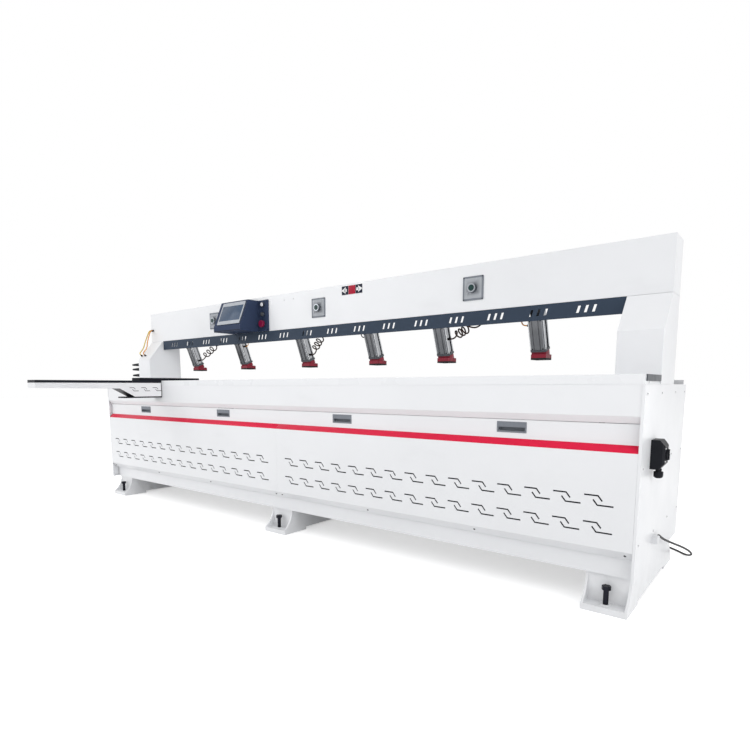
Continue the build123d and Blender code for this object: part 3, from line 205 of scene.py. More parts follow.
class SideDrillStage(bpy.types.PropertyGroup):
    """Camera and light."""

    camera_place: bpy.props.FloatVectorProperty(
        name="Camera", description="Where the camera stands", default=(2.351, -2.490, 0.860),
        subtype="TRANSLATION", size=3)
    lens: measure("Lens", "Focal length in millimetres", 25.59, min=1.0)
    shift: bpy.props.FloatVectorProperty(
        name="Shift", description="Sideways and upward shift of the picture", default=(0.0016, 0.106),
        size=2)
    sky: measure("Sky", "Strength of the even light from all round", 0.82, min=0.0)
    floor_white: measure(
        "Floor white", "White that the floor shows to the camera beside its light", 0.50, min=0.0)
    key: measure("Key lamp", "Power of the soft lamp at the right", 100.0, unit="POWER")
    fill: measure("Fill lamp", "Power of the soft lamp at the left", 92.0, unit="POWER")
    side: measure("Side lamp", "Power of the narrow lamp along the beam", 1.3, unit="POWER")


def at(x, depth, height):
    """Return a point in metres from millimetres along, behind the front line and up."""
    return Vector((x / 1000, depth / 1000 + FRONT_LINE, height / 1000))


def grid(places, depths, heights):
    """Return the points at every place, depth and height."""
    return [at(x, depth, height) for x in places for depth in depths for height in heights]


def on_clamp(place, across, back, up):
    """Return a point on a clamp's own axes, in millimetres from the middle of its foot."""
    return at(place + across, *CLAMP_FOOT) + (CLAMP_BACK * back + CLAMP_UP * up) / 1000


def clear():
    """Leave edit mode and deselect everything."""
    if bpy.context.mode != "OBJECT":
        bpy.ops.object.mode_set(mode="OBJECT")
    bpy.ops.object.select_all(action="DESELECT")


def only(piece):
    """Make one piece the active one, and the only one selected."""
    clear()
    piece.select_set(True)
    bpy.context.view_layer.objects.active = piece


def settle(piece, name):
    """Name a new piece and put its place into its mesh."""
    only(piece)
    bpy.ops.object.transform_apply(location=True, rotation=True, scale=True)
    piece.name = name
    piece.data.name = name
    return piece


def smooth(piece):
    """Shade a piece smooth, with its sharp edges kept."""
    only(piece)
    bpy.ops.object.shade_smooth_by_angle(angle=SHARP_ANGLE)
    return piece


def edit(piece):
    """Enter edit mode on one piece with all of its edges selected."""
    only(piece)
    bpy.ops.object.mode_set(mode="EDIT")
    bpy.ops.mesh.select_mode(type="EDGE")
    bpy.ops.mesh.select_all(action="SELECT")


def bevel_all(piece, width, segments):
    """Round every edge of a piece."""
    edit(piece)
    bpy.ops.mesh.bevel(offset=width / 1000, segments=segments, affect="EDGES", clamp_overlap=True)
    clear()


def block(name, low, high, edge, segments=2):
    """Make a block between two corners, with its edges rounded."""
    corner, other = at(*low), at(*high)
    clear()
    bpy.ops.mesh.primitive_cube_add(size=1, location=(corner + other) / 2)
    piece = bpy.context.object
    piece.scale = other - corner
    settle(piece, name)
    bevel_all(piece, edge, segments)
    return smooth(piece)


def plate(name, middle, across, up, size, edge):
    """Make a rounded plate about a point, from two of its axes and its three sizes in millimetres."""
    clear()
    bpy.ops.mesh.primitive_cube_add(size=1)
    piece = bpy.context.object
    piece.scale = Vector(size) / 1000
    settle(piece, name)
    bevel_all(piece, edge, 2)
    turn = Matrix((across, up, across.cross(up))).transposed()
    piece.matrix_world = Matrix.Translation(middle) @ turn.to_4x4()
    settle(piece, name)
    return smooth(piece)


def turned(name, start, way, profile, sides=24, socket=0.0):
    """Make a turned piece from radii along its axis; a socket is sunk into its end."""
    clear()
    bpy.ops.mesh.primitive_circle_add(vertices=sides, radius=profile[0][1] / 1000, fill_type="NGON")
    piece = bpy.context.object
    bpy.ops.object.mode_set(mode="EDIT")
    bpy.ops.mesh.select_mode(type="FACE")
    bpy.ops.mesh.select_all(action="SELECT")
    for (along, radius), (next_along, next_radius) in zip(profile, profile[1:]):
        step = (next_along - along) / 1000
        bpy.ops.mesh.extrude_region_move(TRANSFORM_OT_translate={"value": (0, 0, step)})
        share = next_radius / radius
        bpy.ops.transform.resize(
            value=(share, share, 1), center_override=(0, 0, (next_along - profile[0][0]) / 1000))
    if socket:
        tip = profile[-1][1] / 1000
        bpy.ops.mesh.inset(thickness=tip * 0.42)
        bpy.ops.mesh.extrude_region_move(TRANSFORM_OT_translate={"value": (0, 0, -socket / 1000)})
    bpy.ops.mesh.select_all(action="SELECT")
    bpy.ops.mesh.normals_make_consistent(inside=False)
    clear()
    piece.rotation_mode = "QUATERNION"
    piece.rotation_quaternion = Vector(way).to_track_quat("Z", "Y")
    piece.location = Vector(start) + Vector(way).normalized() * profile[0][0] / 1000
    settle(piece, name)
    return smooth(piece)


def copies(piece, spots):
    """Copy a piece from the first spot to each of the others, each copy with its own mesh."""
    made = [piece]
    for spot in spots[1:]:
        only(piece)
        bpy.ops.object.duplicate(linked=False)
        bpy.ops.transform.translate(value=spot - spots[0])
        copy = bpy.context.object
        made.append(settle(copy, copy.name))
    return made


def joined(name, pieces):
    """Join pieces into one of a given name."""
    clear()
    for piece in pieces:
        piece.select_set(True)
    bpy.context.view_layer.objects.active = pieces[0]
    bpy.ops.object.join()
    whole = bpy.context.view_layer.objects.active
    whole.name = name
    whole.data.name = name
    return whole


def turned_row(name, spots, way, profile, sides, socket=0.0):
    """Make a turned piece at each spot, all facing one way, and join them."""
    return joined(name, copies(turned(name, spots[0], way, profile, sides, socket), spots))


def cut(piece, cutter):
    """Cut one piece out of another."""
    only(piece)
    tool = piece.modifiers.new("cut", "BOOLEAN")
    tool.operation = "DIFFERENCE"
    tool.solver = "EXACT"
    tool.object = cutter
    bpy.ops.object.modifier_apply(modifier="cut")
    bpy.data.objects.remove(cutter)
    return piece


def screws(name, spots, way, radius, finish="black_steel", body="frame"):
    """Fit socket screw heads at each spot, all facing one way, and dress them."""
    head = ((-0.6, radius), (0.5, radius), (1.6, radius * 0.92), (2.3, radius * 0.7))
    return dress(turned_row(name, spots, way, head, 16, 1.2), finish, body)


def tube(name, points, diameter, around=3):
    """Make a smooth round line through the pull of its route points, as one open spline."""
    line = bpy.data.curves.new(name, "CURVE")
    line.dimensions = "3D"
    line.bevel_depth = diameter / 2
    line.bevel_resolution = around
    line.resolution_u = 6
    line.use_fill_caps = True
    spline = line.splines.new("NURBS")
    spline.points.add(len(points) - 1)
    for spot, point in zip(spline.points, points):
        spot.co = (*point, 1.0)
    spline.order_u = 3
    spline.use_endpoint_u = True
    piece = bpy.data.objects.new(name, line)
    bpy.context.scene.collection.objects.link(piece)
    return piece


def arc_points(start, way, end):
    """Return points on the arc that leaves a point along a direction and ends at another."""
    chord = end - start
    across = chord - way * chord.dot(way)
    radius = chord.length_squared / (2 * across.length)
    turn = 2 * atan2(across.length, chord.dot(way)) / ARC_STEPS
    across.normalize()
    return [start + (way * sin(turn * step) + across * (1 - cos(turn * step))) * radius
            for step in range(1, ARC_STEPS + 1)]


def bend_points(start, start_way, end, end_way):
    """Return points on two arcs that leave one point and reach another along the given directions."""
    chord = end - start
    bend = 2 * (1 - start_way.dot(end_way))
    along = chord.dot(start_way + end_way)
    reach = (sqrt(along * along + bend * chord.length_squared) - along) / bend
    leave, arrive = start + start_way * reach, end - end_way * reach
    middle = (leave + arrive) / 2
    turn_way = (arrive - leave).normalized()
    return arc_points(start, start_way, middle) + arc_points(middle, turn_way, end)


class Finish:
    """A procedural finish that is built up in layers on object coordinates."""

    def __init__(self, name, base, shade, blotch):
        self.material = bpy.data.materials.new(name)
        self.material.use_nodes = True
        self.tree = self.material.node_tree
        self.shader = self.tree.nodes["Principled BSDF"]
        self.place = self.node("ShaderNodeTexCoord", "Object", {})
        self.base = self.mix(self.ramp(self.noise(blotch, 5), 0.2, 0.8), base, shade)
        self.rough = None

    def feed(self, socket, value):
        """Link a socket to an input, or set the input to a value."""
        if isinstance(value, bpy.types.NodeSocket):
            self.tree.links.new(value, socket)
        elif hasattr(value, "__len__") and len(value) == 3 and len(socket.default_value) == 4:
            socket.default_value = (*value, 1.0)
        else:
            socket.default_value = value

    def node(self, kind, output, inputs, **settings):
        """Add a node, set its plain attributes, feed its inputs and return one of its outputs."""
        made = self.tree.nodes.new(kind)
        for key, value in settings.items():
            setattr(made, key, value)
        for key, value in inputs.items():
            self.feed(made.inputs[key], value)
        return made.outputs[output]

    def height(self):
        """Return the height of the place."""
        return self.node("ShaderNodeSeparateXYZ", "Z", {"Vector": self.place})

    def facing(self, axis):
        """Return how far a face looks along an axis."""
        way = self.node("ShaderNodeNewGeometry", "True Normal", {})
        return self.node("ShaderNodeSeparateXYZ", axis, {"Vector": way})

    def stretched(self, scale):
        """Return the place with its axes scaled."""
        return self.node("ShaderNodeMapping", "Vector", {"Vector": self.place, "Scale": scale})

    def noise(self, scale, detail, place=None):
        """Return a noise value."""
        return self.node("ShaderNodeTexNoise", "Fac", {
            "Vector": place or self.place, "Scale": scale, "Detail": detail, "Roughness": 0.55})

    def cells(self, scale):
        """Return the distance to the nearest of many scattered points."""
        return self.node("ShaderNodeTexVoronoi", "Distance", {"Vector": self.place, "Scale": scale})

    def lines(self, scale):
        """Return even waves along the X axis."""
        return self.node("ShaderNodeTexWave", "Fac", {"Vector": self.place, "Scale": scale})

    def ramp(self, value, low, high, out_low=0.0, out_high=1.0):
        """Return a value mapped from one range to another and kept inside it."""
        return self.node("ShaderNodeMapRange", "Result", {
            "Value": value, "From Min": low, "From Max": high, "To Min": out_low, "To Max": out_high})

    def times(self, first, second):
        """Return the product of two values."""
        return self.node("ShaderNodeMath", "Value", {0: first, 1: second}, operation="MULTIPLY")

    def along(self, way):
        """Return the place measured along a direction."""
        return self.node(
            "ShaderNodeVectorMath", "Value", {0: self.place, 1: way}, operation="DOT_PRODUCT")

    def mix(self, amount, first, second, kind="RGBA"):
        """Return a colour, or a value, between two."""
        return self.node(
            "ShaderNodeMix", "Result", {"Factor": amount, "A": first, "B": second}, data_type=kind)

    def layer(self, amount, over, rough):
        """Lay a colour over the finish where a value is high, with its own roughness."""
        self.base = self.mix(amount, self.base, over)
        self.rough = self.mix(amount, self.rough, rough, "FLOAT")

    def blotches(self, scale, detail, span, most, over, rough, place=None):
        """Lay a colour over the finish where a noise passes through a span of values."""
        self.layer(self.ramp(self.noise(scale, detail, place), *span, 0.0, most), over, rough)

    def roughness(self, scale, low, high, place=None):
        """Set how the gloss varies."""
        self.rough = self.ramp(self.noise(scale, 4, place), 0.3, 0.7, low, high)

    def relief(self, height, strength, depth):
        """Set the small relief from a height value."""
        self.feed(self.shader.inputs["Normal"], self.node("ShaderNodeBump", "Normal", {
            "Height": height, "Strength": strength, "Distance": depth}))

    def done(self, metallic=0.0, coat=0.0, specular=0.5):
        """Link the layers to the shader and return the material."""
        for key, value in (
                ("Base Color", self.base), ("Roughness", self.rough), ("Metallic", metallic),
                ("Coat Weight", coat), ("Coat Roughness", 0.15), ("Specular IOR Level", specular)):
            self.feed(self.shader.inputs[key], value)
        return self.material


FINISHES = {}


def tint(base, amount):
    """Return a colour made lighter or darker."""
    return tuple(min(1.0, part * amount) for part in base)


def painted(name, base, dust=True, rough=(0.28, 0.44), gloss=0.5):
    """Sprayed paint with a fine orange-peel relief, faint hand marks and dust near the floor."""
    made = Finish(name, base, tint(base, 0.93), 1.7)
    made.roughness(6.0, *rough)
    tall = made.stretched((1.0, 1.0, 2.2))
    made.blotches(3.1, 6, (0.60, 0.78), 0.16, tint(base, 0.74), 0.52, tall)
    if dust:
        low = made.ramp(made.height(), 0.20, 0.01)
        grains = made.ramp(made.noise(18.0, 6), 0.42, 0.75, 0.0, 0.16)
        made.layer(made.times(low, grains), (0.46, 0.44, 0.41), 0.75)
    made.relief(made.noise(420.0, 2), 0.10, 0.0004)
    return made.done(coat=0.12 if dust else 0.0, specular=gloss)


def moulded(name, base, grain=900.0, rough=(0.38, 0.55), relief=0.18, gloss=0.28):
    """Moulded plastic with a fine leathery grain."""
    made = Finish(name, base, tint(base, 0.82), 9.0)
    made.roughness(14.0, *rough)
    made.blotches(60.0, 5, (0.62, 0.80), 0.25, tint(base, 1.7), 0.6)
    made.relief(made.cells(grain), relief, 0.0003)
    return made.done(specular=gloss)


def machined(name, base, stretch, rough=(0.24, 0.42), relief=0.12):
    """Metal with fine lines drawn along one way."""
    made = Finish(name, base, tint(base, 0.80), 14.0)
    drawn = made.stretched(stretch)
    made.roughness(40.0, *rough, drawn)
    made.blotches(55.0, 4, (0.52, 0.75), 0.35, tint(base, 0.66), 0.5, drawn)
    made.blotches(7.0, 6, (0.62, 0.80), 0.30, tint(base, 0.45), 0.55)
    made.relief(made.noise(260.0, 3, drawn), relief, 0.0003)
    return made.done(metallic=1.0)


def barrel_finish(base):
    """Drawn aluminium with fine lines along it, and a painted highlight where it faces right."""
    made = Finish("extruded_aluminium", base, tint(base, 0.80), 14.0)
    drawn = made.stretched((24.0, 24.0, 1.0))
    made.roughness(8.0, 0.30, 0.36, drawn)
    made.blotches(8.0, 4, (0.52, 0.75), 0.12, tint(base, 0.7), 0.4, drawn)
    # Painted highlight: the faces that look right, towards the lamps, are made lighter.
    made.layer(made.ramp(made.facing("X"), 0.40, 0.80), tint(base, 1.9), 0.3)
    made.relief(made.noise(40.0, 3, drawn), 0.02, 0.0003)
    return made.done(metallic=1.0)


def rubbery(name, base, rough=(0.48, 0.66)):
    """Soft hose or rubber skin with scuffs."""
    made = Finish(name, base, tint(base, 1.5), 30.0)
    made.roughness(50.0, *rough)
    made.blotches(120.0, 5, (0.60, 0.78), 0.30, tint(base, 2.6), 0.7)
    made.relief(made.noise(900.0, 3), 0.12, 0.0002)
    return made.done(specular=0.25)


def shoe_finish(base):
    """Red casting below, bright rods above and a black pad at the foot."""
    made = Finish("shoe_red", base, tint(base, 0.62), 22.0)
    made.roughness(30.0, 0.30, 0.50)
    made.blotches(75.0, 6, (0.60, 0.76), 0.35, tint(base, 1.7), 0.45)
    rods = made.ramp(made.along(CLAMP_UP), SHOE_TOP, SHOE_TOP + 0.0003)
    made.layer(rods, (0.62, 0.62, 0.63), 0.18)
    made.layer(made.ramp(made.height(), PAD_TOP, PAD_TOP - 0.0006), (0.010, 0.010, 0.011), 0.7)
    made.relief(made.noise(500.0, 3), 0.16, 0.0004)
    return made.done(metallic=rods, specular=0.3)


def slab_finish(base):
    """White table laminate with a faint fleck and sliding marks."""
    made = Finish("table_laminate", base, tint(base, 0.97), 2.0)
    made.roughness(5.0, 0.22, 0.36)
    made.layer(made.ramp(made.cells(420.0), 0.10, 0.02, 0.0, 0.10), tint(base, 0.7), 0.4)
    slid = made.stretched((0.35, 5.0, 1.0))
    made.blotches(4.0, 6, (0.60, 0.80), 0.02, tint(base, 0.86), 0.40, slid)
    made.relief(made.noise(300.0, 3), 0.06, 0.0003)
    return made.done(specular=0.3)


def arm_finish(base):
    """Black slide strip with long fine ribs."""
    made = Finish("slide_black", base, tint(base, 1.8), 12.0)
    made.roughness(20.0, 0.36, 0.55)
    slid = made.stretched((6.0, 0.6, 1.0))
    made.blotches(6.0, 6, (0.58, 0.80), 0.4, tint(base, 4.0), 0.6, slid)
    made.relief(made.lines(60.0), 0.35, 0.0008)
    return made.done(specular=0.12)


def bracket_finish(white, black):
    """White paint on the arm's sides, and black under it."""
    made = Finish("arm_paint", white, tint(white, 0.93), 1.7)
    made.roughness(6.0, 0.28, 0.44)
    made.blotches(3.1, 6, (0.60, 0.78), 0.16, tint(white, 0.74), 0.52)
    made.layer(made.ramp(made.facing("Z"), -0.10, -0.20), tint(black, 1.4), 0.5)
    made.relief(made.noise(420.0, 2), 0.10, 0.0004)
    return made.done(specular=0.4)


def screen_finish(base):
    """Dark glass with a faint panel behind it and finger marks."""
    made = Finish("screen_glass", base, tint(base, 1.35), 5.0)
    made.roughness(16.0, 0.14, 0.26)
    made.blotches(14.0, 6, (0.58, 0.78), 0.35, tint(base, 1.5), 0.35)
    made.relief(made.noise(80.0, 2), 0.02, 0.0002)
    return made.done(specular=0.2)


def make_finishes(colours):
    """Make each finish once, under the name that pieces ask for."""
    white, black = colours.white, colours.black
    FINISHES.update({
        "white": painted("white_paint", white),
        "frame_white": painted("frame_paint", tint(white, 0.9), True, (0.4, 0.6)),
        "slab": slab_finish(white),
        "red": painted("stripe_red", colours.red, False, (0.30, 0.44), 0.2),
        "shoe": shoe_finish(colours.shoe),
        "slate": painted("slate_paint", colours.slate, False, (0.36, 0.52), 0.12),
        "console": painted("console_paint", colours.console, False, (0.36, 0.52), 0.08),
        "bracket": bracket_finish(white, black),
        "station": moulded("station_panel", colours.station),
        "outlet": moulded("pale_plastic", (0.78, 0.79, 0.81)),
        "liner": rubbery("vent_mesh", (0.006, 0.007, 0.010), (0.7, 0.9)),
        "grey": moulded("grey_plastic", colours.grey),
        "dark_grey": moulded("edge_grey", tint(colours.grey, 0.42)),
        "silver": machined("silver_bezel", (0.36, 0.38, 0.41), (30.0, 2.0, 2.0), (0.30, 0.42)),
        "bezel": machined("bright_bezel", (0.36, 0.38, 0.41), (6.0, 6.0, 6.0), (0.20, 0.32), 0.06),
        "black": moulded("black_plastic", black, gloss=0.16),
        "arm": arm_finish(black),
        "stop": painted("stop_black", tint(black, 1.2), False, (0.46, 0.60), 0.10),
        "barrel": barrel_finish(colours.metal),
        "metal": machined("turned_aluminium", colours.metal, (24.0, 24.0, 1.0)),
        "cast": machined("milled_aluminium", colours.metal, (2.0, 18.0, 18.0), (0.30, 0.5)),
        "steel": machined("bright_steel", (0.60, 0.60, 0.61), (0.6, 30.0, 30.0), (0.16, 0.32), 0.06),
        "black_steel": machined("black_steel", (0.022, 0.023, 0.030), (6.0, 6.0, 6.0), (0.36, 0.55)),
        "chrome": machined("chrome", (0.78, 0.79, 0.80), (6.0, 6.0, 6.0), (0.06, 0.16), 0.02),
        "hose": rubbery("curly_hose", colours.hose),
        "orange": rubbery("orange_hose", colours.orange, (0.30, 0.45)),
        "yellow": rubbery("yellow_hose", colours.yellow, (0.30, 0.45)),
        "cable": rubbery("lead_black", (0.012, 0.012, 0.013)),
        "rubber": rubbery("rubber_black", (0.014, 0.014, 0.014), (0.6, 0.8)),
        "green": moulded("green_button", (0.004, 0.036, 0.034), 700.0, (0.26, 0.38), 0.06),
        "white_cap": moulded("white_button", (0.78, 0.78, 0.80), 700.0, (0.22, 0.34), 0.06),
        "stop_red": moulded("stop_button", (0.22, 0.005, 0.045), 700.0, (0.26, 0.38), 0.06),
        "navy": painted("sign_navy", colours.navy, False, (0.4, 0.5), 0.2),
        "sign_red": painted("sign_red", tint(colours.red, 0.55), False, (0.4, 0.5), 0.2),
        "sign_white": painted("sign_white", (0.86, 0.86, 0.87), False),
        "glass": screen_finish(colours.glass),
    })


CAD_FINISH = {
    "white": ("foot_left", "foot_middle", "foot_right", "front_skirt", "front_panel_left",
              "front_panel_right", "fascia", "end_panel_left", "end_panel_right", "rear_panels",
              "column_left", "column_right", "beam_cover", "spindle_motor"),
    "bracket": ("support_arm",),
    "console": ("console_housing",),
    "outlet": ("cable_gland",),
    "frame_white": ("base_frame", "beam"),
    "slab": ("table_slab",),
    "shoe": tuple(f"clamp_{number}_shoe" for number in range(1, 7)),
    "slate": ("beam_strip",),
    "grey": ("panel_pulls", "station_plates"),
    "dark_grey": ("table_end_caps",),
    "silver": ("touch_screen",),
    "bezel": ("button_bezels",),
    "black": ("isolator_box", "isolator_knob", "mains_plug"),
    "liner": ("hose_glands",),
    "arm": ("arm_top",),
    "stop": ("side_stop",),
    "barrel": ("clamp_barrels",),
    "metal": ("key_selector",),
    "cast": ("carriage", "lift_shelf", "feed_slide"),
    "steel": ("x_rails", "drive_screw", "drill_bit"),
    "black_steel": ("levelling_bolts", "screw_bearings", "drive_motor"),
    "chrome": ("drill_chuck",),
    "hose": ("curly_hoses",),
    "orange": ("link_hoses",),
    "cable": ("mains_cable", "mains_coil"),
    "green": ("station_button_left", "station_button_middle", "station_button_right"),
    "white_cap": ("start_button",),
    "stop_red": ("estop_button",),
}


def dress(piece, finish, body="frame"):
    """Give a finished piece its material and the body it rides on."""
    piece.data.materials.clear()
    piece.data.materials.append(FINISHES[finish])
    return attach(piece, body)


def white_rays(tree):
    """Return one for the rays from the camera and those off metal or through glass."""
    rays = tree.nodes.new("ShaderNodeLightPath")
    seen = rays.outputs["Is Camera Ray"]
    for kind in ("Is Glossy Ray", "Is Transmission Ray"):
        either = tree.nodes.new("ShaderNodeMath")
        either.operation = "MAXIMUM"
        tree.links.new(seen, either.inputs[0])
        tree.links.new(rays.outputs[kind], either.inputs[1])
        seen = either.outputs[0]
    return seen


class SIDEDRILL_OT_stage(bpy.types.Operator):
    """Set the camera, the pale floor and the soft light"""

    bl_idname = "side_drill.stage"
    bl_label = "Stage"

    def execute(self, context):
        stage = context.scene.side_drill_stage
        context.scene.view_settings.view_transform = "Standard"
        eye = bpy.data.cameras.new("camera")
        eye.lens = stage.lens
        eye.sensor_width = 36.0
        eye.shift_x, eye.shift_y = stage.shift
        eye.clip_end = 200.0
        camera = bpy.data.objects.new("camera", eye)
        context.scene.collection.objects.link(camera)
        turn = Matrix(CAMERA_AXES).transposed()
        camera.matrix_world = Matrix.Translation(stage.camera_place) @ turn.to_4x4()
        context.scene.camera = camera

        clear()
        bpy.ops.mesh.primitive_plane_add(size=80)
        floor = settle(context.object, "floor")
        ground = Finish("pale_floor", (0.90, 0.90, 0.90), (0.89, 0.89, 0.895), 0.6)
        ground.roughness(3.0, 0.75, 0.85)
        seen = white_rays(ground.tree)
        ground.shader.inputs["Emission Color"].default_value = WHITE
        ground.feed(ground.shader.inputs["Emission Strength"], ground.times(seen, stage.floor_white))
        floor.data.materials.append(ground.done(specular=0.1))

        world = bpy.data.worlds.new("studio")
        context.scene.world = world
        world.use_nodes = True
        tree = world.node_tree
        sky = tree.nodes["Background"]
        sky.inputs["Color"].default_value = WHITE
        sky.inputs["Strength"].default_value = stage.sky
        white = tree.nodes.new("ShaderNodeBackground")
        white.inputs["Color"].default_value = WHITE
        both = tree.nodes.new("ShaderNodeMixShader")
        tree.links.new(white_rays(tree), both.inputs[0])
        tree.links.new(sky.outputs[0], both.inputs[1])
        tree.links.new(white.outputs[0], both.inputs[2])
        tree.links.new(both.outputs[0], tree.nodes["World Output"].inputs["Surface"])

        for name, place, aim, size, spread in LAMPS:
            light = bpy.data.lights.new(f"{name}_lamp", "AREA")
            light.energy = getattr(stage, name)
            light.size = size
            light.spread = radians(spread)
            lamp = bpy.data.objects.new(f"{name}_lamp", light)
            context.scene.collection.objects.link(lamp)
            lamp.location = place
            lamp.rotation_mode = "QUATERNION"
            lamp.rotation_quaternion = (Vector(aim) - Vector(place)).to_track_quat("-Z", "Y")
        return {"FINISHED"}


class SIDEDRILL_OT_cad_finishes(bpy.types.Operator):
    """Make the finishes and give each CAD piece its own"""

    bl_idname = "side_drill.cad_finishes"
    bl_label = "Finishes"

    def execute(self, context):
        make_finishes(context.scene.side_drill_colours)
        for finish, names in CAD_FINISH.items():
            for name in names:
                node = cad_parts[name]
                node.data.materials.clear()
                node.data.materials.append(FINISHES[finish])
        missed = set(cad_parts) - {name for names in CAD_FINISH.values() for name in names}
        if missed:
            raise RuntimeError(f"no finish for {sorted(missed)}")
        return {"FINISHED"}


def coil_point(turn):
    """Return a point of the put-away coil after a count of turns: inwards, up and out again."""
    inward = turn - COIL_TURNS / 2
    radius = COIL_CORE + COIL_GAP * sqrt(inward ** 2 + 0.01)
    climb = min(max(inward * 2 + 0.5, 0.0), 1.0)
    level = LEAD_LEVEL + COIL_GAP * climb * climb * (3 - 2 * climb)
    angle = 2 * pi * turn
    return at(COIL_X - radius * sin(angle), COIL_DEPTH + radius * cos(angle), level)


def coil_way(turn):
    """Return the direction in which the coil runs after a count of turns."""
    return (coil_point(turn + 0.001) - coil_point(turn - 0.001)).normalized()


class SIDEDRILL_OT_mains_lead(bpy.types.Operator):
    """Lay the mains lead from its gland to its put-away coil and plug"""

    bl_idname = "side_drill.mains_lead"
    bl_label = "Mains lead"

    def execute(self, context):
        sizes = context.scene.side_drill_sizes
        points = [at(*point) for point in LEAD_ROUTE]
        points += [coil_point(0) - coil_way(0) * reach for reach in COIL_LEAD_IN]
        points += [coil_point(step / COIL_STEPS) for step in range(COIL_TURNS * COIL_STEPS + 1)]
        points += [coil_point(COIL_TURNS) + coil_way(COIL_TURNS) * reach for reach in COIL_LEAD_OUT]
        lead = tube("mains_lead", points, sizes.lead_diameter, 4)
        dress(lead, "cable")
        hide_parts("mains_cable", "mains_coil")
        boot = turned("lead_boot", points[0], BACK, LEAD_BOOT)
        dress(boot, "rubber")
        return {"FINISHED"}


def curl_route(low, high, lead, pitch):
    """Return the route of a curly hose from its port, through its loops and up behind the strip."""
    axis = (high - low).normalized()
    across = axis.cross(BACK).normalized()
    other = axis.cross(across)
    start = low + axis * lead / 1000
    loops = []
    for step in range(CURL_TURNS * CURL_STEPS + 1):
        angle = 2 * pi * step / CURL_STEPS
        spoke = across * cos(angle) + other * sin(angle)
        loops.append(start + axis * (pitch / 1000 * step / CURL_STEPS) + spoke * CURL_RADIUS)
    loop_way = (axis * pitch / 1000 + other * 2 * pi * CURL_RADIUS).normalized()
    leave = low + RIGHT * CURL_LEAVE
    return [low, leave, *bend_points(leave, RIGHT, loops[0], loop_way), *loops[1:],
            *bend_points(loops[-1], loop_way, high, UP), high + UP * CURL_END_RISE]


class SIDEDRILL_OT_air_hoses(bpy.types.Operator):
    """Hang the curly hoses at three clamps and the link hoses on the left column"""

    bl_idname = "side_drill.air_hoses"
    bl_label = "Air hoses"

    def execute(self, context):
        sizes = context.scene.side_drill_sizes
        fittings = []
        for number, port, reach, lead, pitch, drawn in CURLS:
            side = on_clamp(CLAMP_PLACES[number], BARREL_SIDE, 0, port)
            low = side + RIGHT * FITTING_REACH
            high = Vector((side.x + reach / 1000, *at(0, CURL_END_DEPTH, CURL_END_LEVEL).yz))
            points = curl_route(low, high, lead, pitch)
            hose = tube(f"curly_hose_{number + 1}", points, sizes.curl_diameter)
            dress(hose, "hose")
            fittings.append(turned("port", side, RIGHT, CURL_PORT, 12))
            fittings.append(turned("port", points[-1], DOWN, CURL_END, 12))
        ports = dress(joined("curly_hose_ports", fittings), "black")
        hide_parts("curly_hoses")

        run = Vector((0, -SHOULDER_DEPTH, -SHOULDER_DROP)).normalized()
        out = Vector((0, -SHOULDER_DROP, SHOULDER_DEPTH)).normalized()
        drop = (COVER_FACE - LINK_FOOT_DEPTH) * SHOULDER_DROP / SHOULDER_DEPTH
        ends = []
        for number, (place, foot_place) in enumerate(LINK_PLACES, 1):
            foot = at(foot_place, LINK_FOOT_DEPTH, SHOULDER_TOP - drop)
            lean = (foot_place - place) / 100
            points = [at(place + lean * part, depth, height) for part, depth, height in LINK_ROUTE]
            points += [foot + out * LINK_RAISE - run * way for way in LINK_TAIL]
            points.append(foot + out * FITTING_REACH)
            hose = tube(f"link_hose_{number}", points, sizes.link_diameter)
            dress(hose, "yellow" if number == 1 else "orange")
            ends.append(turned("end", at(place, COVER_FACE, LINK_TOP), FRONT, LINK_END, 12))
            ends.append(turned("end", foot, out, LINK_END, 12))
        links = dress(joined("link_hose_ends", ends), "black")
        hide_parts("link_hoses")
        return {"FINISHED"}


class SIDEDRILL_OT_shoulder_stripes(bpy.types.Operator):
    """Lay the red stripe on the slanted shoulder of each front panel"""

    bl_idname = "side_drill.shoulder_stripes"
    bl_label = "Shoulder stripes"

    def execute(self, context):
        proud = context.scene.side_drill_sizes.stripe_proud * 1000
        for name, low, high in (("left", -1932.5, 27.5), ("right", 28.5, 1932.5)):
            middle = at((low + high) / 2, STRIPE_DEPTH, STRIPE_LEVEL)
            middle += STRIPE_OUT * (proud / 2 - 0.2) / 1000
            size = (high - low, STRIPE_WIDTH, proud)
            stripe = plate(f"shoulder_stripe_{name}", middle, RIGHT, STRIPE_RISE, size, 0.3)
            dress(stripe, "red")
        return {"FINISHED"}


class SIDEDRILL_OT_vent_liners(bpy.types.Operator):
    """Back the vent cuts of the panels and the arm with dark mesh, fit the arm's keel and rim, and a
    black strip at the arm's root as painted shadow
    """

    bl_idname = "side_drill.vent_liners"
    bl_label = "Vent liners"

    def execute(self, context):
        backs = [block("liner", (low, 4.3, 296), (high, 4.3 + LINER, 470), 0.2, 1)
                 for low, high in PANEL_VENTS]
        dress(joined("panel_liners", backs), "liner")
        sides = [block("liner", (low, -234, 826), (low + LINER, 0, 857), 0.2, 1) for low in ARM_VENTS]
        dress(joined("arm_liners", sides), "liner")
        keel = [block("keel", (-1258, -257, 783), (-1150, 0.5, 792.2), 1.0),
                # Painted shadow: this upright black strip stands for the shade in the gap between the
                # arm's root and the table.
                block("keel", (-1258.3, -3.0, 790), (-1149.7, 1.6, 899.6), 0.4)]
        dress(joined("arm_keel", keel), "stop")
        rim = block("arm_rim", (-1258.6, -797.6, 884), (-1149.4, -3.4, 890.2), 0.3)
        dress(rim, "arm")
        return {"FINISHED"}


def sign_block(name, low, high, half, front, back, edge, segments=2):
    """Make a block of the travel sign, from its places along and up about the sign's middle."""
    return block(name, (SIGN_X + low, front, SIGN_LEVEL - half),
                 (SIGN_X + high, back, SIGN_LEVEL + half), edge, segments)


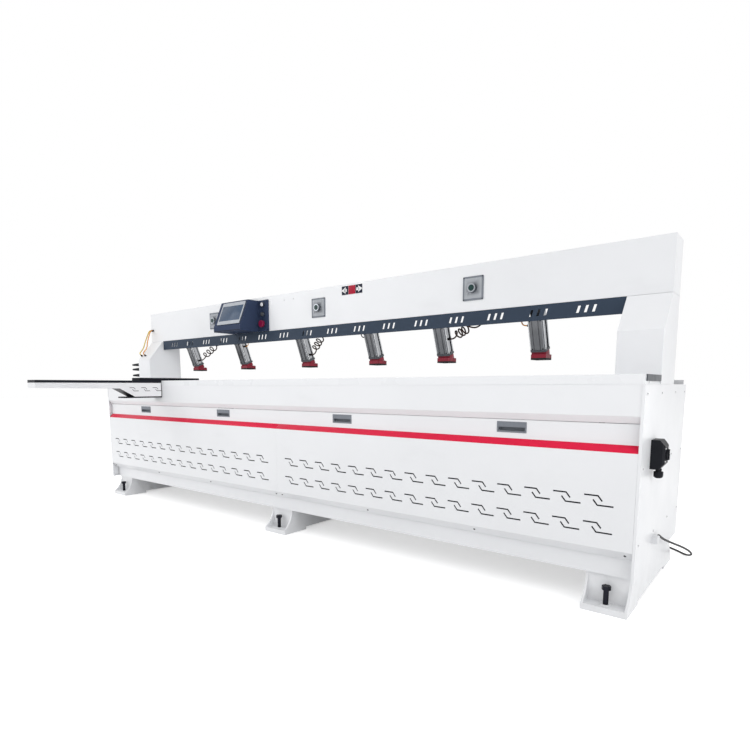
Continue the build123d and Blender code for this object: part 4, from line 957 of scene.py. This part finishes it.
class SIDEDRILL_OT_travel_sign(bpy.types.Operator):
    """Mount the travel sign with its two arrows on the cover"""

    bl_idname = "side_drill.travel_sign"
    bl_label = "Travel sign"

    def execute(self, context):
        backing = sign_block("sign_backing", -81, 81, 27.5, 398.8, 400.2, 0.3)
        dress(backing, "sign_white")
        tiles = [sign_block("tile", low, low + 51, 25, 398.2, 399.2, 0.2) for low in (-78.5, 27.5)]
        dress(joined("sign_tiles", tiles), "navy")
        middle = sign_block("sign_middle", -26, 26, 25, 398.2, 399.2, 0.2)
        dress(middle, "sign_red")
        arrows = []
        for side in (-1, 1):
            clear()
            bpy.ops.mesh.primitive_cylinder_add(
                vertices=3, radius=0.021, depth=0.0006, rotation=(pi / 2, side * pi / 2, 0),
                location=at(SIGN_X + side * 59, 398, SIGN_LEVEL))
            head = settle(bpy.context.object, "head")
            bevel_all(head, 0.1, 1)
            low = side * 47 - 12
            arrows += [head, sign_block("shaft", low, low + 20, 8, 397.7, 398.3, 0.1, 1)]
        dress(joined("sign_arrows", arrows), "sign_white")
        return {"FINISHED"}


class SIDEDRILL_OT_console(bpy.types.Operator):
    """Fit the screen's glass, the console's lip and its screws"""

    bl_idname = "side_drill.console"
    bl_label = "Console"

    def execute(self, context):
        face = at(*SCREEN_PLACE) + SLOPE_OUT * 0.0048
        dress(plate("screen_glass", face, RIGHT, SLOPE_UP, SCREEN, 0.3), "glass")
        lip = block("console_lip", (-841, 234.2, 1232), (-562, 236.2, 1236), 0.4)
        dress(lip, "black")
        screws("console_screws", grid((-548, -468), (392,), (1238, 1425)), FRONT, 2.8)
        return {"FINISHED"}


class SIDEDRILL_OT_stations(bpy.types.Operator):
    """Put the raised panels and corner screws on the button stations"""

    bl_idname = "side_drill.stations"
    bl_label = "Button stations"

    def execute(self, context):
        panels = []
        spots = []
        for place in STATION_PLACES:
            panel = block("panel", (place - 47, 395.0, STATION_LEVEL - 49),
                          (place + 47, 396.4, STATION_LEVEL + 49), 0.5)
            middle = at(place, COVER_FACE, STATION_LEVEL)
            panels.append(cut(panel, turned("hole", middle, FRONT, STATION_HOLE, 32)))
            spots += grid((place - 51, place + 51), (396,), (STATION_LEVEL - 53, STATION_LEVEL + 53))
        dress(joined("station_panels", panels), "station")
        screws("station_screws", spots, FRONT, 3.0)
        return {"FINISHED"}


def clamp_end(place):
    """Return a clamp's lower cap, bored for its guide rods, and the two wipers under it."""
    cap = plate("cap", on_clamp(place, 0, 0, LOWER_CAP_LEVEL), RIGHT, CLAMP_BACK, LOWER_CAP, 0.8)
    wipers = []
    for side in GUIDE_ROD_SIDES:
        below = on_clamp(place, side, 0, 40)
        cap = cut(cap, turned("hole", below, CLAMP_UP, CAP_HOLE))
        ring = turned("ring", on_clamp(place, side, 0, WIPER_LEVEL), -CLAMP_UP, WIPER)
        wipers.append(cut(ring, turned("hole", below, CLAMP_UP, WIPER_HOLE)))
    return cap, wipers


def feed_line(number, side, finish):
    """Hang the short feed hose of a clamp and return the elbow that it leaves."""
    port = on_clamp(CLAMP_PLACES[number], BARREL_SIDE * side, 0, FEED_LEVEL)
    elbow = turned("elbow", port, (side, 0, 0), FEED_ELBOW, 12)
    points = [port + Vector((side * out, back, up)) / 1000 for out, back, up in FEED_BEND]
    feed = tube(f"feed_hose_{number + 1}", points, 0.006)
    dress(feed, finish)
    return elbow


class SIDEDRILL_OT_clamps(bpy.types.Operator):
    """Fit tie rods, caps, wipers, fittings and feed hoses to the clamps, and crowns to their shoes"""

    bl_idname = "side_drill.clamps"
    bl_label = "Clamps"

    def execute(self, context):
        corners = [on_clamp(place, across, back, TIE_ROD_LEVEL) for place in CLAMP_PLACES
                   for across in TIE_ROD_SIDES for back in TIE_ROD_BACKS]
        dress(turned_row("tie_rods", corners, CLAMP_UP, TIE_ROD, 12), "chrome")
        caps, wipers, bolts, elbows = [], [], [], []
        for number, place in enumerate(CLAMP_PLACES):
            cap, rings = clamp_end(place)
            top = on_clamp(place, 0, 0, UPPER_CAP_LEVEL)
            caps += [cap, plate("cap", top, RIGHT, CLAMP_BACK, UPPER_CAP, 1.0)]
            wipers += rings
            bolts += [on_clamp(place, across, *spot) for across in CAP_SCREW_SIDES
                      for spot in CAP_SCREW_SPOTS]
            if number in FEED_CLAMPS:
                elbows.append(feed_line(number, *FEED_CLAMPS[number]))
        dress(joined("clamp_caps", caps), "dark_grey")
        dress(joined("rod_wipers", wipers), "rubber")
        dress(joined("air_fittings", elbows), "black")
        screws("cap_screws", bolts, -CLAMP_BACK, 3.4)
        for number, place in enumerate(CLAMP_PLACES, 1):
            middle = on_clamp(place, 0, 0, CROWN_LEVEL)
            crown = plate(f"shoe_crown_{number}", middle, RIGHT, CLAMP_BACK, CROWN, 1.2)
            dress(crown, "shoe", f"clamp_{number}")
            heads = grid((place - 28, place + 28), (538,), (1009,))
            screws(f"shoe_bolts_{number}", heads, UP, 4.0, body=f"clamp_{number}")
        return {"FINISHED"}


class SIDEDRILL_OT_panel_screws(bpy.types.Operator):
    """Screw the cladding on at the front, the ends and the back"""

    bl_idname = "side_drill.panel_screws"
    bl_label = "Panel screws"

    def execute(self, context):
        radius = context.scene.side_drill_sizes.screw_head * 1000
        low = grid((-1905, -1270, -640, 3, 53, 690, 1290, 1905), (18,), (235.5,))
        screws("return_screws", low, (0, -35, -32), radius)
        for name, face, way in (("right", END_FACE, RIGHT), ("left", -END_FACE, LEFT)):
            ends = grid((face,), (40, 304, 600, 840), (276, 560, 830))
            screws(f"{name}_end_screws", ends, way, radius, "steel")
        rear = grid((-1900, -1270, -640, -30, 30, 640, 1270, 1900), (878,), (170, 520, 862))
        screws("rear_screws", rear, BACK, radius, "steel")
        cover = grid((-1900, -950, 0, 950, 1900), (548,), (1250, 1432))
        screws("cover_screws", cover, BACK, radius, "steel")
        return {"FINISHED"}


class SIDEDRILL_OT_isolator(bpy.types.Operator):
    """Fit the isolator's screws, pointer and cable nut; the white pointer is also a painted highlight
    """

    bl_idname = "side_drill.isolator"
    bl_label = "Isolator"

    def execute(self, context):
        spots = grid((1991,), (ISOLATOR_DEPTH - 26, ISOLATOR_DEPTH + 26),
                     (ISOLATOR_LEVEL - 24, ISOLATOR_LEVEL + 24))
        screws("isolator_screws", spots, RIGHT, 3.2, "steel")
        # The white mark on the knob is a real pointer and also a painted highlight, where the knob's
        # glint would be.
        mark = block("isolator_mark", (2000.6, ISOLATOR_DEPTH - 1.6, ISOLATOR_LEVEL + 4),
                     (2002.0, ISOLATOR_DEPTH + 1.6, ISOLATOR_LEVEL + 17), 0.2, 1)
        dress(mark, "sign_white", "isolator_knob")
        nut = turned("isolator_nut", at(1967, ISOLATOR_DEPTH, 535), DOWN, ISOLATOR_NUT, 12)
        dress(nut, "black")
        return {"FINISHED"}


class SIDEDRILL_OT_feet(bpy.types.Operator):
    """Put a painted boss under each levelling bolt"""

    bl_idname = "side_drill.feet"
    bl_label = "Feet"

    def execute(self, context):
        spots = grid(FOOT_PLACES, FOOT_LEDGES, (26,))
        dress(turned_row("foot_bosses", spots, UP, FOOT_BOSS, 24), "white")
        return {"FINISHED"}


def twist_bit():
    """Make the drill bit: a rod with two flutes, cut into slices and twisted."""
    clear()
    bpy.ops.mesh.primitive_cylinder_add(vertices=16, radius=BIT_RADIUS, depth=BIT_LENGTH)
    bit = settle(bpy.context.object, "twist_bit")
    for vertex in bit.data.vertices:
        if abs(vertex.co.y) < BIT_RADIUS * 0.3 and abs(vertex.co.x) > BIT_RADIUS * 0.75:
            vertex.co.x *= 0.42
    edit(bit)
    for height in range(-32, 33, 2):
        bpy.ops.mesh.select_all(action="SELECT")
        bpy.ops.mesh.bisect(plane_co=(0, 0, height / 1000), plane_no=(0, 0, 1))
    only(bit)
    twist = bit.modifiers.new("twist", "SIMPLE_DEFORM")
    twist.deform_method = "TWIST"
    twist.deform_axis = "Z"
    twist.angle = BIT_TWIST
    bpy.ops.object.modifier_apply(modifier="twist")
    bit.rotation_euler = (pi / 2, 0, 0)
    bit.location = at(PARK, 608.7, SPINDLE_LEVEL)
    return smooth(settle(bit, "twist_bit"))


class SIDEDRILL_OT_drilling_unit(bpy.types.Operator):
    """Detail the spindle motor, the chuck, the bit and the carriage"""

    bl_idname = "side_drill.drilling_unit"
    bl_label = "Drilling unit"

    def execute(self, context):
        fins = [block("fin", (PARK - 48, depth, 864.2), (PARK + 48, depth + 3, 959.8), 0.8)
                for depth in range(752, 846, 9)]
        dress(joined("motor_fins", fins), "cast", "feed")
        box = block("terminal_box", (PARK - 28, 700, 956), (PARK + 28, 744, 978), 3.0, 3)
        dress(box, "black", "feed")
        places = [PARK + across for across in (-102, -55, 55, 102)]
        screws("plate_screws", grid(places, (660, 700, 740), (684,)), UP, 5.0, body="carriage")
        chuck = turned("chuck_sleeve", at(PARK, 679.7, SPINDLE_LEVEL), FRONT, CHUCK)
        dress(chuck, "chrome", "spindle")
        bit = dress(twist_bit(), "steel", "spindle")
        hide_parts("drill_bit")
        return {"FINISHED"}


STEPS = (
    SIDEDRILL_OT_stage, SIDEDRILL_OT_cad_finishes, SIDEDRILL_OT_mains_lead, SIDEDRILL_OT_air_hoses,
    SIDEDRILL_OT_shoulder_stripes, SIDEDRILL_OT_vent_liners, SIDEDRILL_OT_travel_sign,
    SIDEDRILL_OT_console, SIDEDRILL_OT_stations, SIDEDRILL_OT_clamps, SIDEDRILL_OT_panel_screws,
    SIDEDRILL_OT_isolator, SIDEDRILL_OT_feet, SIDEDRILL_OT_drilling_unit,
)


class SIDEDRILL_PT_steps(bpy.types.Panel):
    """Lists the steps that dress the machine"""

    bl_label = "Side drill"
    bl_idname = "SIDEDRILL_PT_steps"
    bl_space_type = "VIEW_3D"
    bl_region_type = "UI"
    bl_category = "Side drill"

    def draw(self, context):
        for step in STEPS:
            self.layout.operator(step.bl_idname)


GROUPS = {
    "side_drill_colours": SideDrillColours,
    "side_drill_sizes": SideDrillSizes,
    "side_drill_stage": SideDrillStage,
}
CLASSES = (*GROUPS.values(), *STEPS, SIDEDRILL_PT_steps)


def register():
    """Register the classes and hang the properties on the scene."""
    for item in CLASSES:
        bpy.utils.register_class(item)
    for name, group in GROUPS.items():
        setattr(bpy.types.Scene, name, bpy.props.PointerProperty(type=group))


def unregister():
    """Take the properties and classes away again."""
    for name in GROUPS:
        delattr(bpy.types.Scene, name)
    for item in reversed(CLASSES):
        bpy.utils.unregister_class(item)


def main():
    """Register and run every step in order."""
    register()
    for step in STEPS:
        group, name = step.bl_idname.split(".")
        getattr(getattr(bpy.ops, group), name)()


if __name__ == "__main__":
    main()
